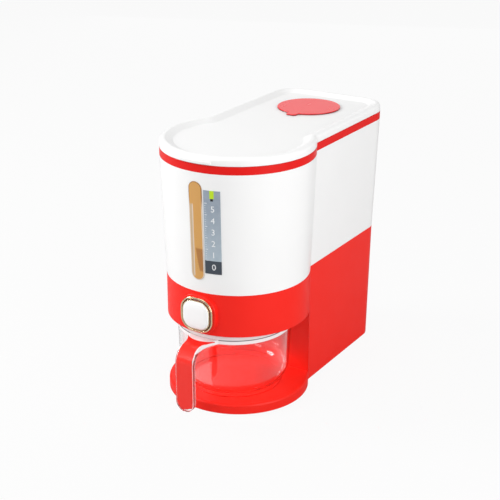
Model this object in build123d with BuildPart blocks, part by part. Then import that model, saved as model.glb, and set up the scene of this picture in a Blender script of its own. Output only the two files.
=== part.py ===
from build123d import *
from math import atan2, cos, degrees, pi, radians, sin, sqrt, tan
import os

# Plan of the box: a round nose in front of a narrower, straight-sided rear
FRONT_RADIUS = 96.5
WAIST_STEP = 15.5
REAR_REACH = 255.5
CORNER_RADIUS = 34.0
WAIST_RADIUS = 6.0
DRAFT = 5.5
REAR_LEAN = 6.5

# Heights of what stands on what, from the floor up
FOOT_RISE = 1.0
DISC_HEIGHT = 13.0
ALCOVE_HEIGHT = 93.0
RING_HEIGHT = 55.0
HOPPER_HEIGHT = 153.5
COLLAR_HEIGHT = 10.0
LID_HEIGHT = 10.2

# Walls, and the gaps between pieces
WALL = 2.5
RUN_GAP = 0.3
SEAT_GAP = 0.1

# Lower housing
ALCOVE_SETBACK = 40.5
POCKET_GAP = 2.5
DISC_SKIN = 4.0
DISC_EDGE = 3.0
GROOVE_INSET = 11.5
GROOVE_WIDTH = 2.0
GROOVE_DEPTH = 1.0
LIP_WALL = 1.6
LIP_HEIGHT = 3.0
LIP_ROOT = 5.0

# Bottom plate, its screws and the rubber feet
PLATE_THICKNESS = 2.5
BOSS_RADIUS = 4.5
BOSS_HEIGHT = 26.0
FRONT_BOSS_MARGIN = 17.4
FRONT_BOSS_ANGLE = 50.7
REAR_BOSS_MARGIN = 22.0
FOOT_RADIUS = 8.0
FOOT_THICKNESS = 2.0
FRONT_FOOT_MARGIN = 11.9
FRONT_FOOT_ANGLE = 36.0
REAR_FOOT_INSET = 19.5
REAR_FOOT_MARGIN = 40.0
SCREW_RADIUS = 1.4
SCREW_HEAD_RADIUS = 3.0
SCREW_HEAD_HEIGHT = 1.4
SCREW_SLOT_WIDTH = 0.8
SCREW_SLOT_DEPTH = 0.7
BOTTOM_SCREW_LENGTH = 6.0
COUNTERBORE_DEPTH = 1.5

# Collar and lid
COLLAR_WALL = 4.5
COLLAR_LIP_INSET = 3.0
COLLAR_LIP_HEIGHT = 3.2
COLLAR_TONGUE = 4.0
LID_SKIN = 2.5
LID_EDGE = 5.0
LID_RECESS = 4.0
LID_RIM = 7.0
LID_SLOPE = 10.0
SKIRT_GAP = 1.5
SKIRT_WALL = 2.0
SKIRT_DEPTH = 8.0
SEAL_HEIGHT = 3.0
SEAL_BITE = 0.9
SEAL_RAISE = 2.0
TAB_WIDTH = 44.0
TAB_REACH = 1.8
TAB_THICKNESS = 3.2
TAB_LIFT = 1.0
TAB_CORNER = 1.2

# Round cap in the lid and the drying-agent holder under it
CAP_SETBACK = 77.5
CAP_RADIUS = 42.0
CAP_THICKNESS = 1.6
CAP_EDGE = 0.7
CAP_TAB_WIDTH = 15.0
CAP_TAB_REACH = 9.0
CAP_PLUG_DEPTH = 5.0
CAP_PLUG_WALL = 1.6
HOLDER_RADIUS = 35.5
HOLDER_WALL = 1.5
HOLDER_DEPTH = 22.0
HOLDER_FLANGE = 4.0
HOLDER_FLANGE_THICKNESS = 1.2
VENT_COUNT = 8
VENT_RADIUS = 3.0
VENT_CIRCLE = 20.0

# Window and scale label on the nose of the hopper
WINDOW_WIDTH = 18.5
WINDOW_BOTTOM = 16.0
WINDOW_TOP_GAP = 11.5
WINDOW_FLANGE = 4.0
WINDOW_FLANGE_THICKNESS = 1.5
LABEL_ANGLE = 13.1
LABEL_WIDTH = 21.0
LABEL_BOTTOM = 27.0
LABEL_TOP_GAP = 20.5
LABEL_THICKNESS = 0.4

# Hopper floor, outlet chute and the slotted gate
FLOOR_THICKNESS = 1.5
OUTLET_DROP = 22.0
FUNNEL_SIDE_SLOPE = 30.0
FUNNEL_REAR_SLOPE = 20.0
CHUTE_BORE = 44.0
CHUTE_WALL = 2.5
CHUTE_FLANGE_WIDTH = 9.0
CHUTE_FLANGE_THICKNESS = 2.5
GRID_THICKNESS = 2.5
LEDGE_WIDTH = 2.0
LEDGE_HEIGHT = 2.0
GATE_THICKNESS = 2.5
GATE_NOSE = 26.0
GATE_TAIL = 6.0
SLOT_COUNT = 2
SLOT_LENGTH = 36.0
SLOT_OVERLAP = 1.0
CHUTE_SCREW_LENGTH = 4.5

# Push button
BUTTON_TRAVEL = 8.0
BUTTON_DROP = 28.5
BUTTON_WIDTH = 39.0
BUTTON_HEIGHT = 38.0
BUTTON_CORNER = 14.5
BUTTON_PROUD = 10.0
BUTTON_EDGE = 2.0
BUTTON_SKIRT = 12.0
BUTTON_SKIN = 2.5
TRIM_WIDTH = 1.0
TRIM_HEIGHT = 2.5
TRIM_SETBACK = 2.5
BUTTON_GAP = 1.5
BEZEL_WIDTH = 2.0
BEZEL_THICKNESS = 3.0
BEZEL_EDGE = 0.7
BOSS_PROUD = 3.5
BOSS_MARGIN = 2.5
BOSS_EDGE = 1.5
STEM_WIDTH = 14.0
STEM_HEIGHT = 7.0
STEM_STOP = 3.0
GUIDE_WALL = 2.5
GUIDE_LENGTH = 20.0
GUIDE_BACK = 2.0
SPRING_RADIUS = 9.2
SPRING_WIRE = 1.2
SPRING_TURNS = 4

# Measuring cup with its handle
CUP_AXIS_SETBACK = 81.0
CUP_SETBACK = 18.5
CUP_TAPER = 1.7
CUP_WALL = 2.5
CUP_CORNER = 25.0
CUP_HEADROOM = 4.0
CUP_RIM_HEIGHT = 11.0
CUP_RIM_PROUD = 0.7
CUP_RIM_GROOVE = 1.0
CUP_RIM_GROOVE_DEPTH = 0.5
HANDLE_STANDOFF = 43.5
HANDLE_THICKNESS = 6.0
HANDLE_BEND = 21.0
HANDLE_STEP = 5.0
HANDLE_FLOOR_GAP = 13.7
HANDLE_WIDTH = 26.0
HANDLE_FLARE = 25.0
HANDLE_FLARE_LENGTH = 24.0
INLAY_WIDTH = 22.0
INLAY_DEPTH = 1.0
INLAY_PROUD = 0.3
INLAY_FLARE = 20.0
INLAY_NOTCH = 8.0
INLAY_GAP = 4.5
INLAY_FLARE_LENGTH = 30.0
INLAY_BOTTOM_GAP = 3.6

# Places worked out from the sizes above
disc_top = FOOT_RISE + DISC_HEIGHT
ring_bottom = disc_top + ALCOVE_HEIGHT
ring_floor = ring_bottom + WALL
seam = ring_bottom + RING_HEIGHT
collar_bottom = seam + HOPPER_HEIGHT
collar_top = collar_bottom + COLLAR_HEIGHT
lid_bottom = collar_top + RUN_GAP
lid_top = lid_bottom + LID_HEIGHT
lid_panel = lid_top - LID_RECESS
lid_under = lid_panel - LID_SKIN
ring_radius = FRONT_RADIUS - DRAFT
ring_inner = ring_radius - WALL
half_width = FRONT_RADIUS - WAIST_STEP
alcove_depth = ring_radius - ALCOVE_SETBACK
cup_radius = ring_radius - CUP_SETBACK
cup_forward = ring_radius - CUP_AXIS_SETBACK
groove_radius = cup_radius - GROOVE_INSET
cup_axis = -cup_forward
pocket_radius = cup_radius + CUP_RIM_PROUD + POCKET_GAP
rim_reach = cup_forward + cup_radius
handle_reach = rim_reach + HANDLE_STANDOFF
axis_y = (handle_reach + INLAY_PROUD - REAR_REACH) / 2
button_z = seam - BUTTON_DROP
funnel_z = seam - OUTLET_DROP
chute_top = funnel_z - FLOOR_THICKNESS
gate_top = button_z - STEM_HEIGHT / 2
gate_bottom = gate_top - GATE_THICKNESS
grid_bottom = gate_top + RUN_GAP
grid_top = grid_bottom + GRID_THICKNESS
slot_width = BUTTON_TRAVEL - SLOT_OVERLAP
slot_pitch = 2 * BUTTON_TRAVEL
chute_half = CHUTE_BORE / 2 + CHUTE_WALL
plate_top = FOOT_RISE + PLATE_THICKNESS
screw_seat = FOOT_RISE + COUNTERBORE_DEPTH
skirt_inset = COLLAR_WALL + SKIRT_GAP
skirt_bottom = collar_top - SKIRT_DEPTH
seal_bottom = skirt_bottom + SEAL_RAISE
cap_bottom = lid_panel + RUN_GAP
cap_centre = REAR_REACH - CAP_SETBACK
holder_inner = HOLDER_RADIUS - HOLDER_WALL
window_low = seam + WINDOW_BOTTOM
window_height = HOPPER_HEIGHT - WINDOW_BOTTOM - WINDOW_TOP_GAP
window_mid = window_low + window_height / 2
flange_step = -WALL - SEAT_GAP
label_low = seam + LABEL_BOTTOM
label_height = HOPPER_HEIGHT - LABEL_BOTTOM - LABEL_TOP_GAP
boss_face = ring_radius + BOSS_PROUD
button_face = ring_radius + BUTTON_PROUD
button_shoulder = button_face - TRIM_SETBACK - TRIM_HEIGHT
guide_back = ring_inner - GUIDE_LENGTH
stem_end = cup_forward + chute_half + STEM_STOP + BUTTON_TRAVEL
cup_bottom = disc_top + RUN_GAP
cup_top = ring_bottom - CUP_HEADROOM
handle_top = cup_top - HANDLE_STEP


def level(height):
    """Plan plane at a height, with the axis of the nose as its origin."""
    return Plane((0, axis_y, height))


def side_plane():
    """Upright plane down the middle: first axis to the rear, second axis up."""
    return Plane((0, axis_y, 0), x_dir=(0, 1, 0), z_dir=(1, 0, 0))


def front_plane(reach):
    """Upright plane that faces forwards, a reach ahead of the nose axis."""
    return Plane((0, axis_y - reach, 0), x_dir=(1, 0, 0), z_dir=(0, -1, 0))


def upright(forward):
    """Vertical axis on the middle plane, a distance ahead of the nose axis."""
    return Axis((0, axis_y - forward, 0), (0, 0, 1))


def nose_radius(height):
    """Outer radius of the hopper's nose at a height."""
    return ring_radius + DRAFT * (height - seam) / HOPPER_HEIGHT


def nose_place(angle, margin):
    """Plan place at an angle from straight ahead, a margin inside the wall of the nose."""
    reach = ring_inner - margin
    return (reach * sin(radians(angle)), -reach * cos(radians(angle)))


def keyhole(inset, lean=0.0):
    """Plan outline of the box, shrunk evenly by an inset, with the rear wall moved in by a lean."""
    radius = FRONT_RADIUS - inset
    half = half_width - inset
    rear = REAR_REACH - inset - lean
    corner = max(CORNER_RADIUS - inset, WALL)
    waist = WAIST_RADIUS + inset
    neck = sqrt((radius + waist) ** 2 - (half + waist) ** 2)
    nose_angle = 90 + degrees(atan2(neck, half + waist))
    with BuildSketch() as outline:
        with BuildLine():
            nose = CenterArc((0, 0), radius, -90, nose_angle)
            TangentArc(nose @ 1, (half, neck), tangent=nose % 1)
            Line((half, neck), (half, rear - corner))
            RadiusArc((half, rear - corner), (half - corner, rear), -corner)
            Line((half - corner, rear), (0, rear))
            mirror(about=Plane.YZ)
        make_face()
    return outline.sketch


def keyhole_band(outer_inset, inner_inset):
    """Band between two insets of the box's outline."""
    with BuildSketch() as band:
        add(keyhole(outer_inset))
        add(keyhole(inner_inset), mode=Mode.SUBTRACT)
    return band.sketch


def alcove_plan(margin):
    """Plan of the open space for the cup, grown by a margin."""
    with BuildSketch() as plan:
        with Locations((0, alcove_depth + margin)):
            Rectangle(4 * FRONT_RADIUS, 4 * FRONT_RADIUS, align=(Align.CENTER, Align.MAX))
        with Locations((0, cup_axis)):
            Circle(pocket_radius + margin)
    return plan.sketch


def button_outline(margin):
    """Rounded-square outline of the button, grown by a margin."""
    with BuildSketch() as outline:
        with Locations((0, button_z)):
            RectangleRounded(
                BUTTON_WIDTH + 2 * margin, BUTTON_HEIGHT + 2 * margin, BUTTON_CORNER + margin
            )
    return outline.sketch


def cone_shell(low, high, outer_step, inner_step):
    """Layer that follows the hopper's nose between two heights, between two steps from its surface."""
    with BuildPart(level(low)) as shell:
        with Locations((0, 0, (high - low) / 2)):
            Cone(nose_radius(low) + outer_step, nose_radius(high) + outer_step, high - low)
            Cone(
                nose_radius(low) + inner_step,
                nose_radius(high) + inner_step,
                high - low,
                mode=Mode.SUBTRACT,
            )
    return shell.part


def screw_group(height, up, places, length):
    """Pan-head screws seated at a height, with heads up (1) or down (-1)."""
    with BuildPart() as group:
        with BuildSketch(level(height)):
            with Locations(*places):
                Circle(SCREW_HEAD_RADIUS)
        extrude(amount=up * SCREW_HEAD_HEIGHT)
        with BuildSketch(level(height + up * SCREW_HEAD_HEIGHT)):
            with Locations(*places):
                Rectangle(SCREW_HEAD_RADIUS, SCREW_SLOT_WIDTH)
                Rectangle(SCREW_SLOT_WIDTH, SCREW_HEAD_RADIUS)
        extrude(amount=-up * SCREW_SLOT_DEPTH, mode=Mode.SUBTRACT)
        with BuildSketch(level(height)):
            with Locations(*places):
                Circle(SCREW_RADIUS)
        extrude(amount=-up * length)
    return group


def funnel_block(height, margin):
    """Four-sided funnel form, its mouth at a height and grown by a margin, not yet trimmed."""
    mouth = CHUTE_BORE + 2 * margin
    rise = HOPPER_HEIGHT
    side_run = rise / tan(radians(FUNNEL_SIDE_SLOPE))
    rear_run = rise / tan(radians(FUNNEL_REAR_SLOPE))
    with BuildPart() as block:
        with BuildSketch(level(height)):
            with Locations((0, cup_axis)):
                Rectangle(mouth, mouth)
        with BuildSketch(level(height + rise)):
            with Locations((0, cup_axis + (rear_run - side_run) / 2)):
                Rectangle(mouth + 2 * side_run, mouth + side_run + rear_run)
        loft(ruled=True)
    return block.part


def nose_patch(width, height, outer_step, inner_step):
    """Upright oblong cut from a layer of the nose, centred on the window."""
    layer = cone_shell(window_mid - height / 2, window_mid + height / 2, outer_step, inner_step)
    with BuildPart() as patch:
        add(layer)
        with BuildSketch(front_plane(FRONT_RADIUS + WALL)):
            with Locations((0, window_mid)):
                SlotOverall(height, width, rotation=90)
        extrude(amount=-FRONT_RADIUS, mode=Mode.INTERSECT)
    return patch.part


def cup_profile(step, top):
    """Half section of the cup, shrunk by a wall step, up to a height."""
    low = cup_bottom + step
    foot = cup_radius - CUP_TAPER - step
    with BuildSketch() as profile:
        with BuildLine():
            Polyline((0, low), (foot, low), (cup_radius - step, top), (0, top), close=True)
        make_face()
        fillet(profile.vertices().sort_by_distance((foot, low)).first, CUP_CORNER - step)
    return profile.sketch


def strap_profile(start, bottom, outer_step, inner_step):
    """Side view of the handle's strap between two steps from its outer face."""
    high = handle_top + outer_step
    low = handle_top - inner_step
    outer = -handle_reach - outer_step
    inner = -handle_reach + inner_step
    with BuildSketch() as profile:
        with BuildLine():
            Polyline(
                (start, high),
                (outer, high),
                (outer, bottom),
                (inner, bottom),
                (inner, low),
                (start, low),
                close=True,
            )
        make_face()
        fillet(profile.vertices().sort_by_distance((outer, high)).first, HANDLE_BEND + outer_step)
        fillet(profile.vertices().sort_by_distance((inner, low)).first, HANDLE_BEND - inner_step)
    return profile.sketch


def slot_places(shift):
    """Centres of the row of outlet slots, moved along by a shift."""
    first = cup_axis - (SLOT_COUNT - 1) * slot_pitch / 2
    return [(0, first + i * slot_pitch + shift) for i in range(SLOT_COUNT)]


def spring_point(quarters):
    """Point on the return spring's helix, a number of quarter turns from its front end."""
    angle = quarters * pi / 2
    front = button_face - BUTTON_SKIN - SPRING_WIRE
    back = guide_back + GUIDE_BACK + SPRING_WIRE
    reach = front + (back - front) * quarters / (4 * SPRING_TURNS)
    return (SPRING_RADIUS * cos(angle), axis_y - reach, button_z + SPRING_RADIUS * sin(angle))


# Screw places, in the plan
rear_boss_x = half_width - DRAFT - WALL - BOSS_RADIUS + 1.0
boss_front_y = alcove_depth + WALL + REAR_BOSS_MARGIN
boss_rear_y = REAR_REACH - DRAFT - REAR_LEAN - WALL - REAR_BOSS_MARGIN
front_bosses = [nose_place(side * FRONT_BOSS_ANGLE, FRONT_BOSS_MARGIN) for side in (-1, 1)]
rear_bosses = [(side * rear_boss_x, y) for side in (-1, 1) for y in (boss_front_y, boss_rear_y)]
plate_screws = front_bosses + rear_bosses
rear_foot_y = REAR_REACH - DRAFT - REAR_LEAN - REAR_FOOT_MARGIN
rear_foot_x = half_width - DRAFT - REAR_FOOT_INSET
front_feet = [nose_place(side * FRONT_FOOT_ANGLE, FRONT_FOOT_MARGIN) for side in (-1, 1)]
rear_feet = [(side * rear_foot_x, rear_foot_y) for side in (-1, 1)]
feet = front_feet + rear_feet
chute_screw_step = CHUTE_BORE / 2 + CHUTE_WALL + CHUTE_FLANGE_WIDTH / 2
chute_screws_at = [
    (i * chute_screw_step, cup_axis + j * chute_screw_step) for i in (-1, 1) for j in (-1, 1)
]

os.makedirs("parts", exist_ok=True)

# Room inside the lower housing
with BuildPart() as housing_room:
    with BuildSketch(level(FOOT_RISE)):
        add(keyhole(DRAFT + WALL, REAR_LEAN))
    with BuildSketch(level(seam)):
        add(keyhole(DRAFT + WALL))
    loft(ruled=True)
    with BuildSketch(level(disc_top - DISC_SKIN)):
        add(alcove_plan(WALL))
    extrude(amount=DISC_SKIN + ALCOVE_HEIGHT + WALL, mode=Mode.SUBTRACT)

# Round foot that the cup stands on
with BuildPart() as round_foot:
    with BuildSketch(level(FOOT_RISE)):
        Circle(ring_radius)
    extrude(amount=DISC_HEIGHT)
    fillet(round_foot.faces().sort_by(Axis.Z).last.edges(), DISC_EDGE)

# Lower housing: rear box, round foot and overhanging ring in one moulding
with BuildPart() as base_body:
    with BuildSketch(level(FOOT_RISE)):
        add(keyhole(DRAFT, REAR_LEAN))
    with BuildSketch(level(seam)):
        add(keyhole(DRAFT))
    loft(ruled=True)
    with BuildSketch(level(FOOT_RISE)):
        add(alcove_plan(0))
    extrude(amount=DISC_HEIGHT + ALCOVE_HEIGHT, mode=Mode.SUBTRACT)
    add(round_foot.part)
    with BuildSketch(front_plane(boss_face)):
        add(button_outline(BUTTON_GAP + BEZEL_WIDTH + BOSS_MARGIN))
    extrude(amount=-(BOSS_PROUD + GUIDE_LENGTH))
    fillet(base_body.faces().sort_by(Axis.Y).first.edges(), BOSS_EDGE)
    add(housing_room.part, mode=Mode.SUBTRACT)
    # Lip that locates the hopper
    with BuildSketch(level(seam - LIP_ROOT)):
        add(keyhole_band(DRAFT + WALL / 2, DRAFT + WALL + LIP_WALL))
    extrude(amount=LIP_ROOT)
    with BuildSketch(level(seam)):
        add(keyhole_band(DRAFT + WALL + SEAT_GAP, DRAFT + WALL + LIP_WALL))
    extrude(amount=LIP_HEIGHT)
    # Screw bosses and their pilot holes
    with BuildSketch(level(plate_top)):
        with Locations(*front_bosses):
            Circle(BOSS_RADIUS)
    extrude(amount=disc_top - DISC_SKIN - plate_top)
    with BuildSketch(level(plate_top)):
        with Locations(*rear_bosses):
            Circle(BOSS_RADIUS)
    extrude(amount=BOSS_HEIGHT)
    with BuildSketch(level(plate_top)):
        with Locations(*plate_screws):
            Circle(SCREW_RADIUS + SEAT_GAP)
    extrude(amount=screw_seat + BOTTOM_SCREW_LENGTH + RUN_GAP - plate_top, mode=Mode.SUBTRACT)
    # Button opening, outlet, chute screw holes and the ring groove round the cup
    with BuildSketch(front_plane(boss_face)):
        add(button_outline(BUTTON_GAP))
    extrude(amount=-(BOSS_PROUD + GUIDE_LENGTH), mode=Mode.SUBTRACT)
    with BuildSketch(level(ring_bottom)):
        with Locations((0, cup_axis)):
            Rectangle(CHUTE_BORE, CHUTE_BORE)
    extrude(amount=WALL, mode=Mode.SUBTRACT)
    with BuildSketch(level(ring_floor)):
        with Locations(*chute_screws_at):
            Circle(SCREW_RADIUS + SEAT_GAP)
    extrude(amount=-(CHUTE_SCREW_LENGTH - CHUTE_FLANGE_THICKNESS + SEAT_GAP), mode=Mode.SUBTRACT)
    with BuildSketch(level(disc_top)):
        with Locations((0, cup_axis)):
            Circle(groove_radius + GROOVE_WIDTH / 2)
            Circle(groove_radius - GROOVE_WIDTH / 2, mode=Mode.SUBTRACT)
    extrude(amount=-GROOVE_DEPTH, mode=Mode.SUBTRACT)
base_body.part.label = "base_body"
export_step(base_body.part, "parts/base_body.step")

# Plate that closes the housing from below
with BuildPart() as bottom_plate:
    with BuildSketch(level(FOOT_RISE)):
        add(keyhole(DRAFT + WALL + SEAT_GAP, REAR_LEAN))
    extrude(amount=PLATE_THICKNESS)
    with BuildSketch(level(FOOT_RISE)):
        with Locations(*feet):
            Circle(FOOT_RADIUS + SEAT_GAP)
    extrude(amount=FOOT_THICKNESS - FOOT_RISE, mode=Mode.SUBTRACT)
    with BuildSketch(level(FOOT_RISE)):
        with Locations(*plate_screws):
            Circle(SCREW_HEAD_RADIUS + SEAT_GAP)
    extrude(amount=COUNTERBORE_DEPTH, mode=Mode.SUBTRACT)
    with BuildSketch(level(FOOT_RISE)):
        with Locations(*plate_screws):
            Circle(SCREW_RADIUS + SEAT_GAP)
    extrude(amount=PLATE_THICKNESS, mode=Mode.SUBTRACT)
bottom_plate.part.label = "bottom_plate"
export_step(bottom_plate.part, "parts/bottom_plate.step")

bottom_screws = screw_group(screw_seat, -1, plate_screws, BOTTOM_SCREW_LENGTH)
bottom_screws.part.label = "bottom_screws"
export_step(bottom_screws.part, "parts/bottom_screws.step")

with BuildPart() as rubber_feet:
    with BuildSketch(level(0)):
        with Locations(*feet):
            Circle(FOOT_RADIUS)
    extrude(amount=FOOT_THICKNESS)
rubber_feet.part.label = "rubber_feet"
export_step(rubber_feet.part, "parts/rubber_feet.step")

# Hopper: a drafted shell, open above and below, with an oblong window in its nose
with BuildPart() as hopper_shell:
    with BuildSketch(level(seam)):
        add(keyhole(DRAFT))
    with BuildSketch(level(collar_bottom)):
        add(keyhole(0))
    loft(ruled=True)
    with BuildSketch(level(seam)):
        add(keyhole(DRAFT + WALL))
    with BuildSketch(level(collar_bottom)):
        add(keyhole(WALL))
    loft(ruled=True, mode=Mode.SUBTRACT)
    with BuildSketch(front_plane(FRONT_RADIUS + WALL)):
        with Locations((0, window_mid)):
            SlotOverall(window_height, WINDOW_WIDTH, rotation=90)
    extrude(amount=-FRONT_RADIUS / 2, mode=Mode.SUBTRACT)
hopper_shell.part.label = "hopper_shell"
export_step(hopper_shell.part, "parts/hopper_shell.step")

with BuildPart() as window_pane:
    add(nose_patch(WINDOW_WIDTH - 2 * SEAT_GAP, window_height - 2 * SEAT_GAP, 0, flange_step))
    add(
        nose_patch(
            WINDOW_WIDTH + 2 * WINDOW_FLANGE,
            window_height + 2 * WINDOW_FLANGE,
            flange_step,
            flange_step - WINDOW_FLANGE_THICKNESS,
        )
    )
window_pane.part.label = "window_pane"
export_step(window_pane.part, "parts/window_pane.step")

label_layer = cone_shell(label_low, label_low + label_height, SEAT_GAP + LABEL_THICKNESS, SEAT_GAP)
label_turn = radians(LABEL_ANGLE)
label_centre = (FRONT_RADIUS * sin(label_turn), -FRONT_RADIUS * cos(label_turn), 0)
with BuildPart() as label_plate:
    add(label_layer)
    with BuildSketch(level(label_low)):
        with Locations(Location(label_centre, (0, 0, LABEL_ANGLE))):
            Rectangle(LABEL_WIDTH, FRONT_RADIUS)
    extrude(amount=label_height, mode=Mode.INTERSECT)
label_plate.part.label = "label_plate"
export_step(label_plate.part, "parts/label_plate.step")

# Sloping floor of the hopper, trimmed to the inside of the shell
trim_inset = DRAFT + WALL + SEAT_GAP
with BuildPart() as hopper_floor:
    add(funnel_block(chute_top, CHUTE_WALL))
    add(funnel_block(funnel_z, 0), mode=Mode.SUBTRACT)
    with BuildSketch(level(chute_top)):
        with Locations((0, cup_axis)):
            Rectangle(CHUTE_BORE, CHUTE_BORE)
    extrude(amount=FLOOR_THICKNESS, mode=Mode.SUBTRACT)
    with BuildSketch(level(chute_top)):
        add(keyhole(trim_inset + DRAFT * (seam - chute_top) / HOPPER_HEIGHT))
    with BuildSketch(level(collar_bottom)):
        add(keyhole(trim_inset - DRAFT))
    loft(ruled=True, mode=Mode.INTERSECT)
    with BuildSketch(level(seam + LIP_HEIGHT + RUN_GAP)):
        add(keyhole_band(0, DRAFT + WALL + LIP_WALL + RUN_GAP))
    extrude(amount=-(LIP_HEIGHT + OUTLET_DROP), mode=Mode.SUBTRACT)
hopper_floor.part.label = "hopper_floor"
export_step(hopper_floor.part, "parts/hopper_floor.step")

# Outlet chute with its fixed grid and the ledges that carry the gate
with BuildPart() as outlet_chute:
    with BuildSketch(level(ring_floor)):
        with Locations((0, cup_axis)):
            Rectangle(2 * (chute_half + CHUTE_FLANGE_WIDTH), 2 * (chute_half + CHUTE_FLANGE_WIDTH))
    extrude(amount=CHUTE_FLANGE_THICKNESS)
    with BuildSketch(level(ring_floor)):
        with Locations((0, cup_axis)):
            Rectangle(2 * chute_half, 2 * chute_half)
    extrude(amount=chute_top - ring_floor)
    with BuildSketch(level(grid_top)):
        with Locations((0, cup_axis)):
            Rectangle(CHUTE_BORE, CHUTE_BORE)
    extrude(amount=chute_top - grid_top, mode=Mode.SUBTRACT)
    with BuildSketch(level(ring_floor)):
        with Locations((0, cup_axis)):
            Rectangle(CHUTE_BORE, CHUTE_BORE)
    extrude(amount=grid_bottom - ring_floor, mode=Mode.SUBTRACT)
    with BuildSketch(level(gate_bottom - RUN_GAP)):
        with Locations((-CHUTE_BORE / 2, cup_axis), (CHUTE_BORE / 2, cup_axis)):
            Rectangle(2 * LEDGE_WIDTH, CHUTE_BORE)
    extrude(amount=-LEDGE_HEIGHT)
    with BuildSketch(level(gate_bottom - RUN_GAP)):
        with Locations((0, cup_axis)):
            Rectangle(CHUTE_BORE, 3 * chute_half)
    extrude(amount=GATE_THICKNESS + 2 * RUN_GAP, mode=Mode.SUBTRACT)
    with BuildSketch(level(grid_bottom)):
        with Locations(*slot_places(0)):
            Rectangle(SLOT_LENGTH, slot_width)
    extrude(amount=GRID_THICKNESS, mode=Mode.SUBTRACT)
    with BuildSketch(level(ring_floor)):
        with Locations(*chute_screws_at):
            Circle(SCREW_RADIUS + SEAT_GAP)
    extrude(amount=CHUTE_FLANGE_THICKNESS, mode=Mode.SUBTRACT)
outlet_chute.part.label = "outlet_chute"
export_step(outlet_chute.part, "parts/outlet_chute.step")

chute_screws = screw_group(ring_floor + CHUTE_FLANGE_THICKNESS, 1, chute_screws_at, CHUTE_SCREW_LENGTH)
chute_screws.part.label = "chute_screws"
export_step(chute_screws.part, "parts/chute_screws.step")

# Gate that the button pushes back until its slots lie under the grid's
gate_length = 2 * chute_half + GATE_NOSE + GATE_TAIL
with BuildPart() as gate_plate:
    with BuildSketch(level(gate_bottom)):
        with Locations((0, cup_axis - chute_half - GATE_NOSE)):
            Rectangle(CHUTE_BORE - 2 * RUN_GAP, gate_length, align=(Align.CENTER, Align.MIN))
        with Locations(*slot_places(-BUTTON_TRAVEL)):
            Rectangle(SLOT_LENGTH, slot_width, mode=Mode.SUBTRACT)
    extrude(amount=GATE_THICKNESS)
gate_plate.part.label = "gate_plate"
export_step(gate_plate.part, "parts/gate_plate.step")

# Push button: cap, its metal-look trim, stem, spring, guide and bezel
with BuildPart() as button_cap:
    with BuildSketch(front_plane(button_face)):
        add(button_outline(-TRIM_WIDTH))
    extrude(amount=-(TRIM_SETBACK + TRIM_HEIGHT))
    fillet(button_cap.faces().sort_by(Axis.Y).first.edges(), BUTTON_EDGE)
    with BuildSketch(front_plane(button_shoulder)):
        add(button_outline(0))
    extrude(amount=-(BUTTON_SKIRT - TRIM_SETBACK - TRIM_HEIGHT))
    with BuildSketch(front_plane(button_face - BUTTON_SKIN)):
        add(button_outline(-TRIM_WIDTH - BUTTON_SKIN))
    extrude(amount=-BUTTON_SKIRT, mode=Mode.SUBTRACT)
button_cap.part.label = "button_cap"
export_step(button_cap.part, "parts/button_cap.step")

with BuildPart() as button_ring:
    with BuildSketch(front_plane(button_shoulder)):
        add(button_outline(0))
        add(button_outline(-TRIM_WIDTH), mode=Mode.SUBTRACT)
    extrude(amount=TRIM_HEIGHT)
button_ring.part.label = "button_ring"
export_step(button_ring.part, "parts/button_ring.step")

with BuildPart() as button_bezel:
    with BuildSketch(front_plane(boss_face)):
        add(button_outline(BUTTON_GAP + BEZEL_WIDTH))
        add(button_outline(BUTTON_GAP), mode=Mode.SUBTRACT)
    extrude(amount=BEZEL_THICKNESS)
    fillet(button_bezel.faces().sort_by(Axis.Y).first.edges(), BEZEL_EDGE)
button_bezel.part.label = "button_bezel"
export_step(button_bezel.part, "parts/button_bezel.step")

with BuildPart() as button_stem:
    with BuildSketch(front_plane(button_face - BUTTON_SKIN)):
        with Locations((0, button_z)):
            Rectangle(STEM_WIDTH, STEM_HEIGHT)
    extrude(amount=-(button_face - BUTTON_SKIN - stem_end))
button_stem.part.label = "button_stem"
export_step(button_stem.part, "parts/button_stem.step")

with BuildPart() as button_guide:
    with BuildSketch(front_plane(guide_back)):
        add(button_outline(RUN_GAP + GUIDE_WALL))
    extrude(amount=GUIDE_LENGTH)
    with BuildSketch(front_plane(guide_back + GUIDE_BACK)):
        add(button_outline(RUN_GAP))
    extrude(amount=GUIDE_LENGTH, mode=Mode.SUBTRACT)
    with BuildSketch(front_plane(guide_back)):
        with Locations((0, button_z)):
            Rectangle(STEM_WIDTH + 2 * RUN_GAP, STEM_HEIGHT + 2 * RUN_GAP)
    extrude(amount=GUIDE_BACK, mode=Mode.SUBTRACT)
    with BuildSketch(level(ring_bottom)):
        Circle(ring_inner - SEAT_GAP)
    extrude(amount=RING_HEIGHT, mode=Mode.INTERSECT)
button_guide.part.label = "button_guide"
export_step(button_guide.part, "parts/button_guide.step")

with BuildPart() as return_spring:
    with BuildLine() as coil:
        for quarter in range(4 * SPRING_TURNS):
            ThreePointArc(
                spring_point(quarter), spring_point(quarter + 0.5), spring_point(quarter + 1)
            )
    with BuildSketch(Plane(coil.line @ 0, z_dir=coil.line % 0)):
        Circle(SPRING_WIRE / 2)
    sweep()
return_spring.part.label = "return_spring"
export_step(return_spring.part, "parts/return_spring.step")

# Collar between hopper and lid
with BuildPart() as top_collar:
    with BuildSketch(level(collar_bottom)):
        add(keyhole_band(0, COLLAR_WALL))
    extrude(amount=COLLAR_HEIGHT)
    with BuildSketch(level(collar_bottom)):
        add(keyhole_band(WALL + RUN_GAP, COLLAR_WALL))
    extrude(amount=-COLLAR_TONGUE)
    with BuildSketch(level(collar_top)):
        add(keyhole_band(COLLAR_LIP_INSET, COLLAR_WALL))
    extrude(amount=COLLAR_LIP_HEIGHT)
top_collar.part.label = "top_collar"
export_step(top_collar.part, "parts/top_collar.step")

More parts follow.
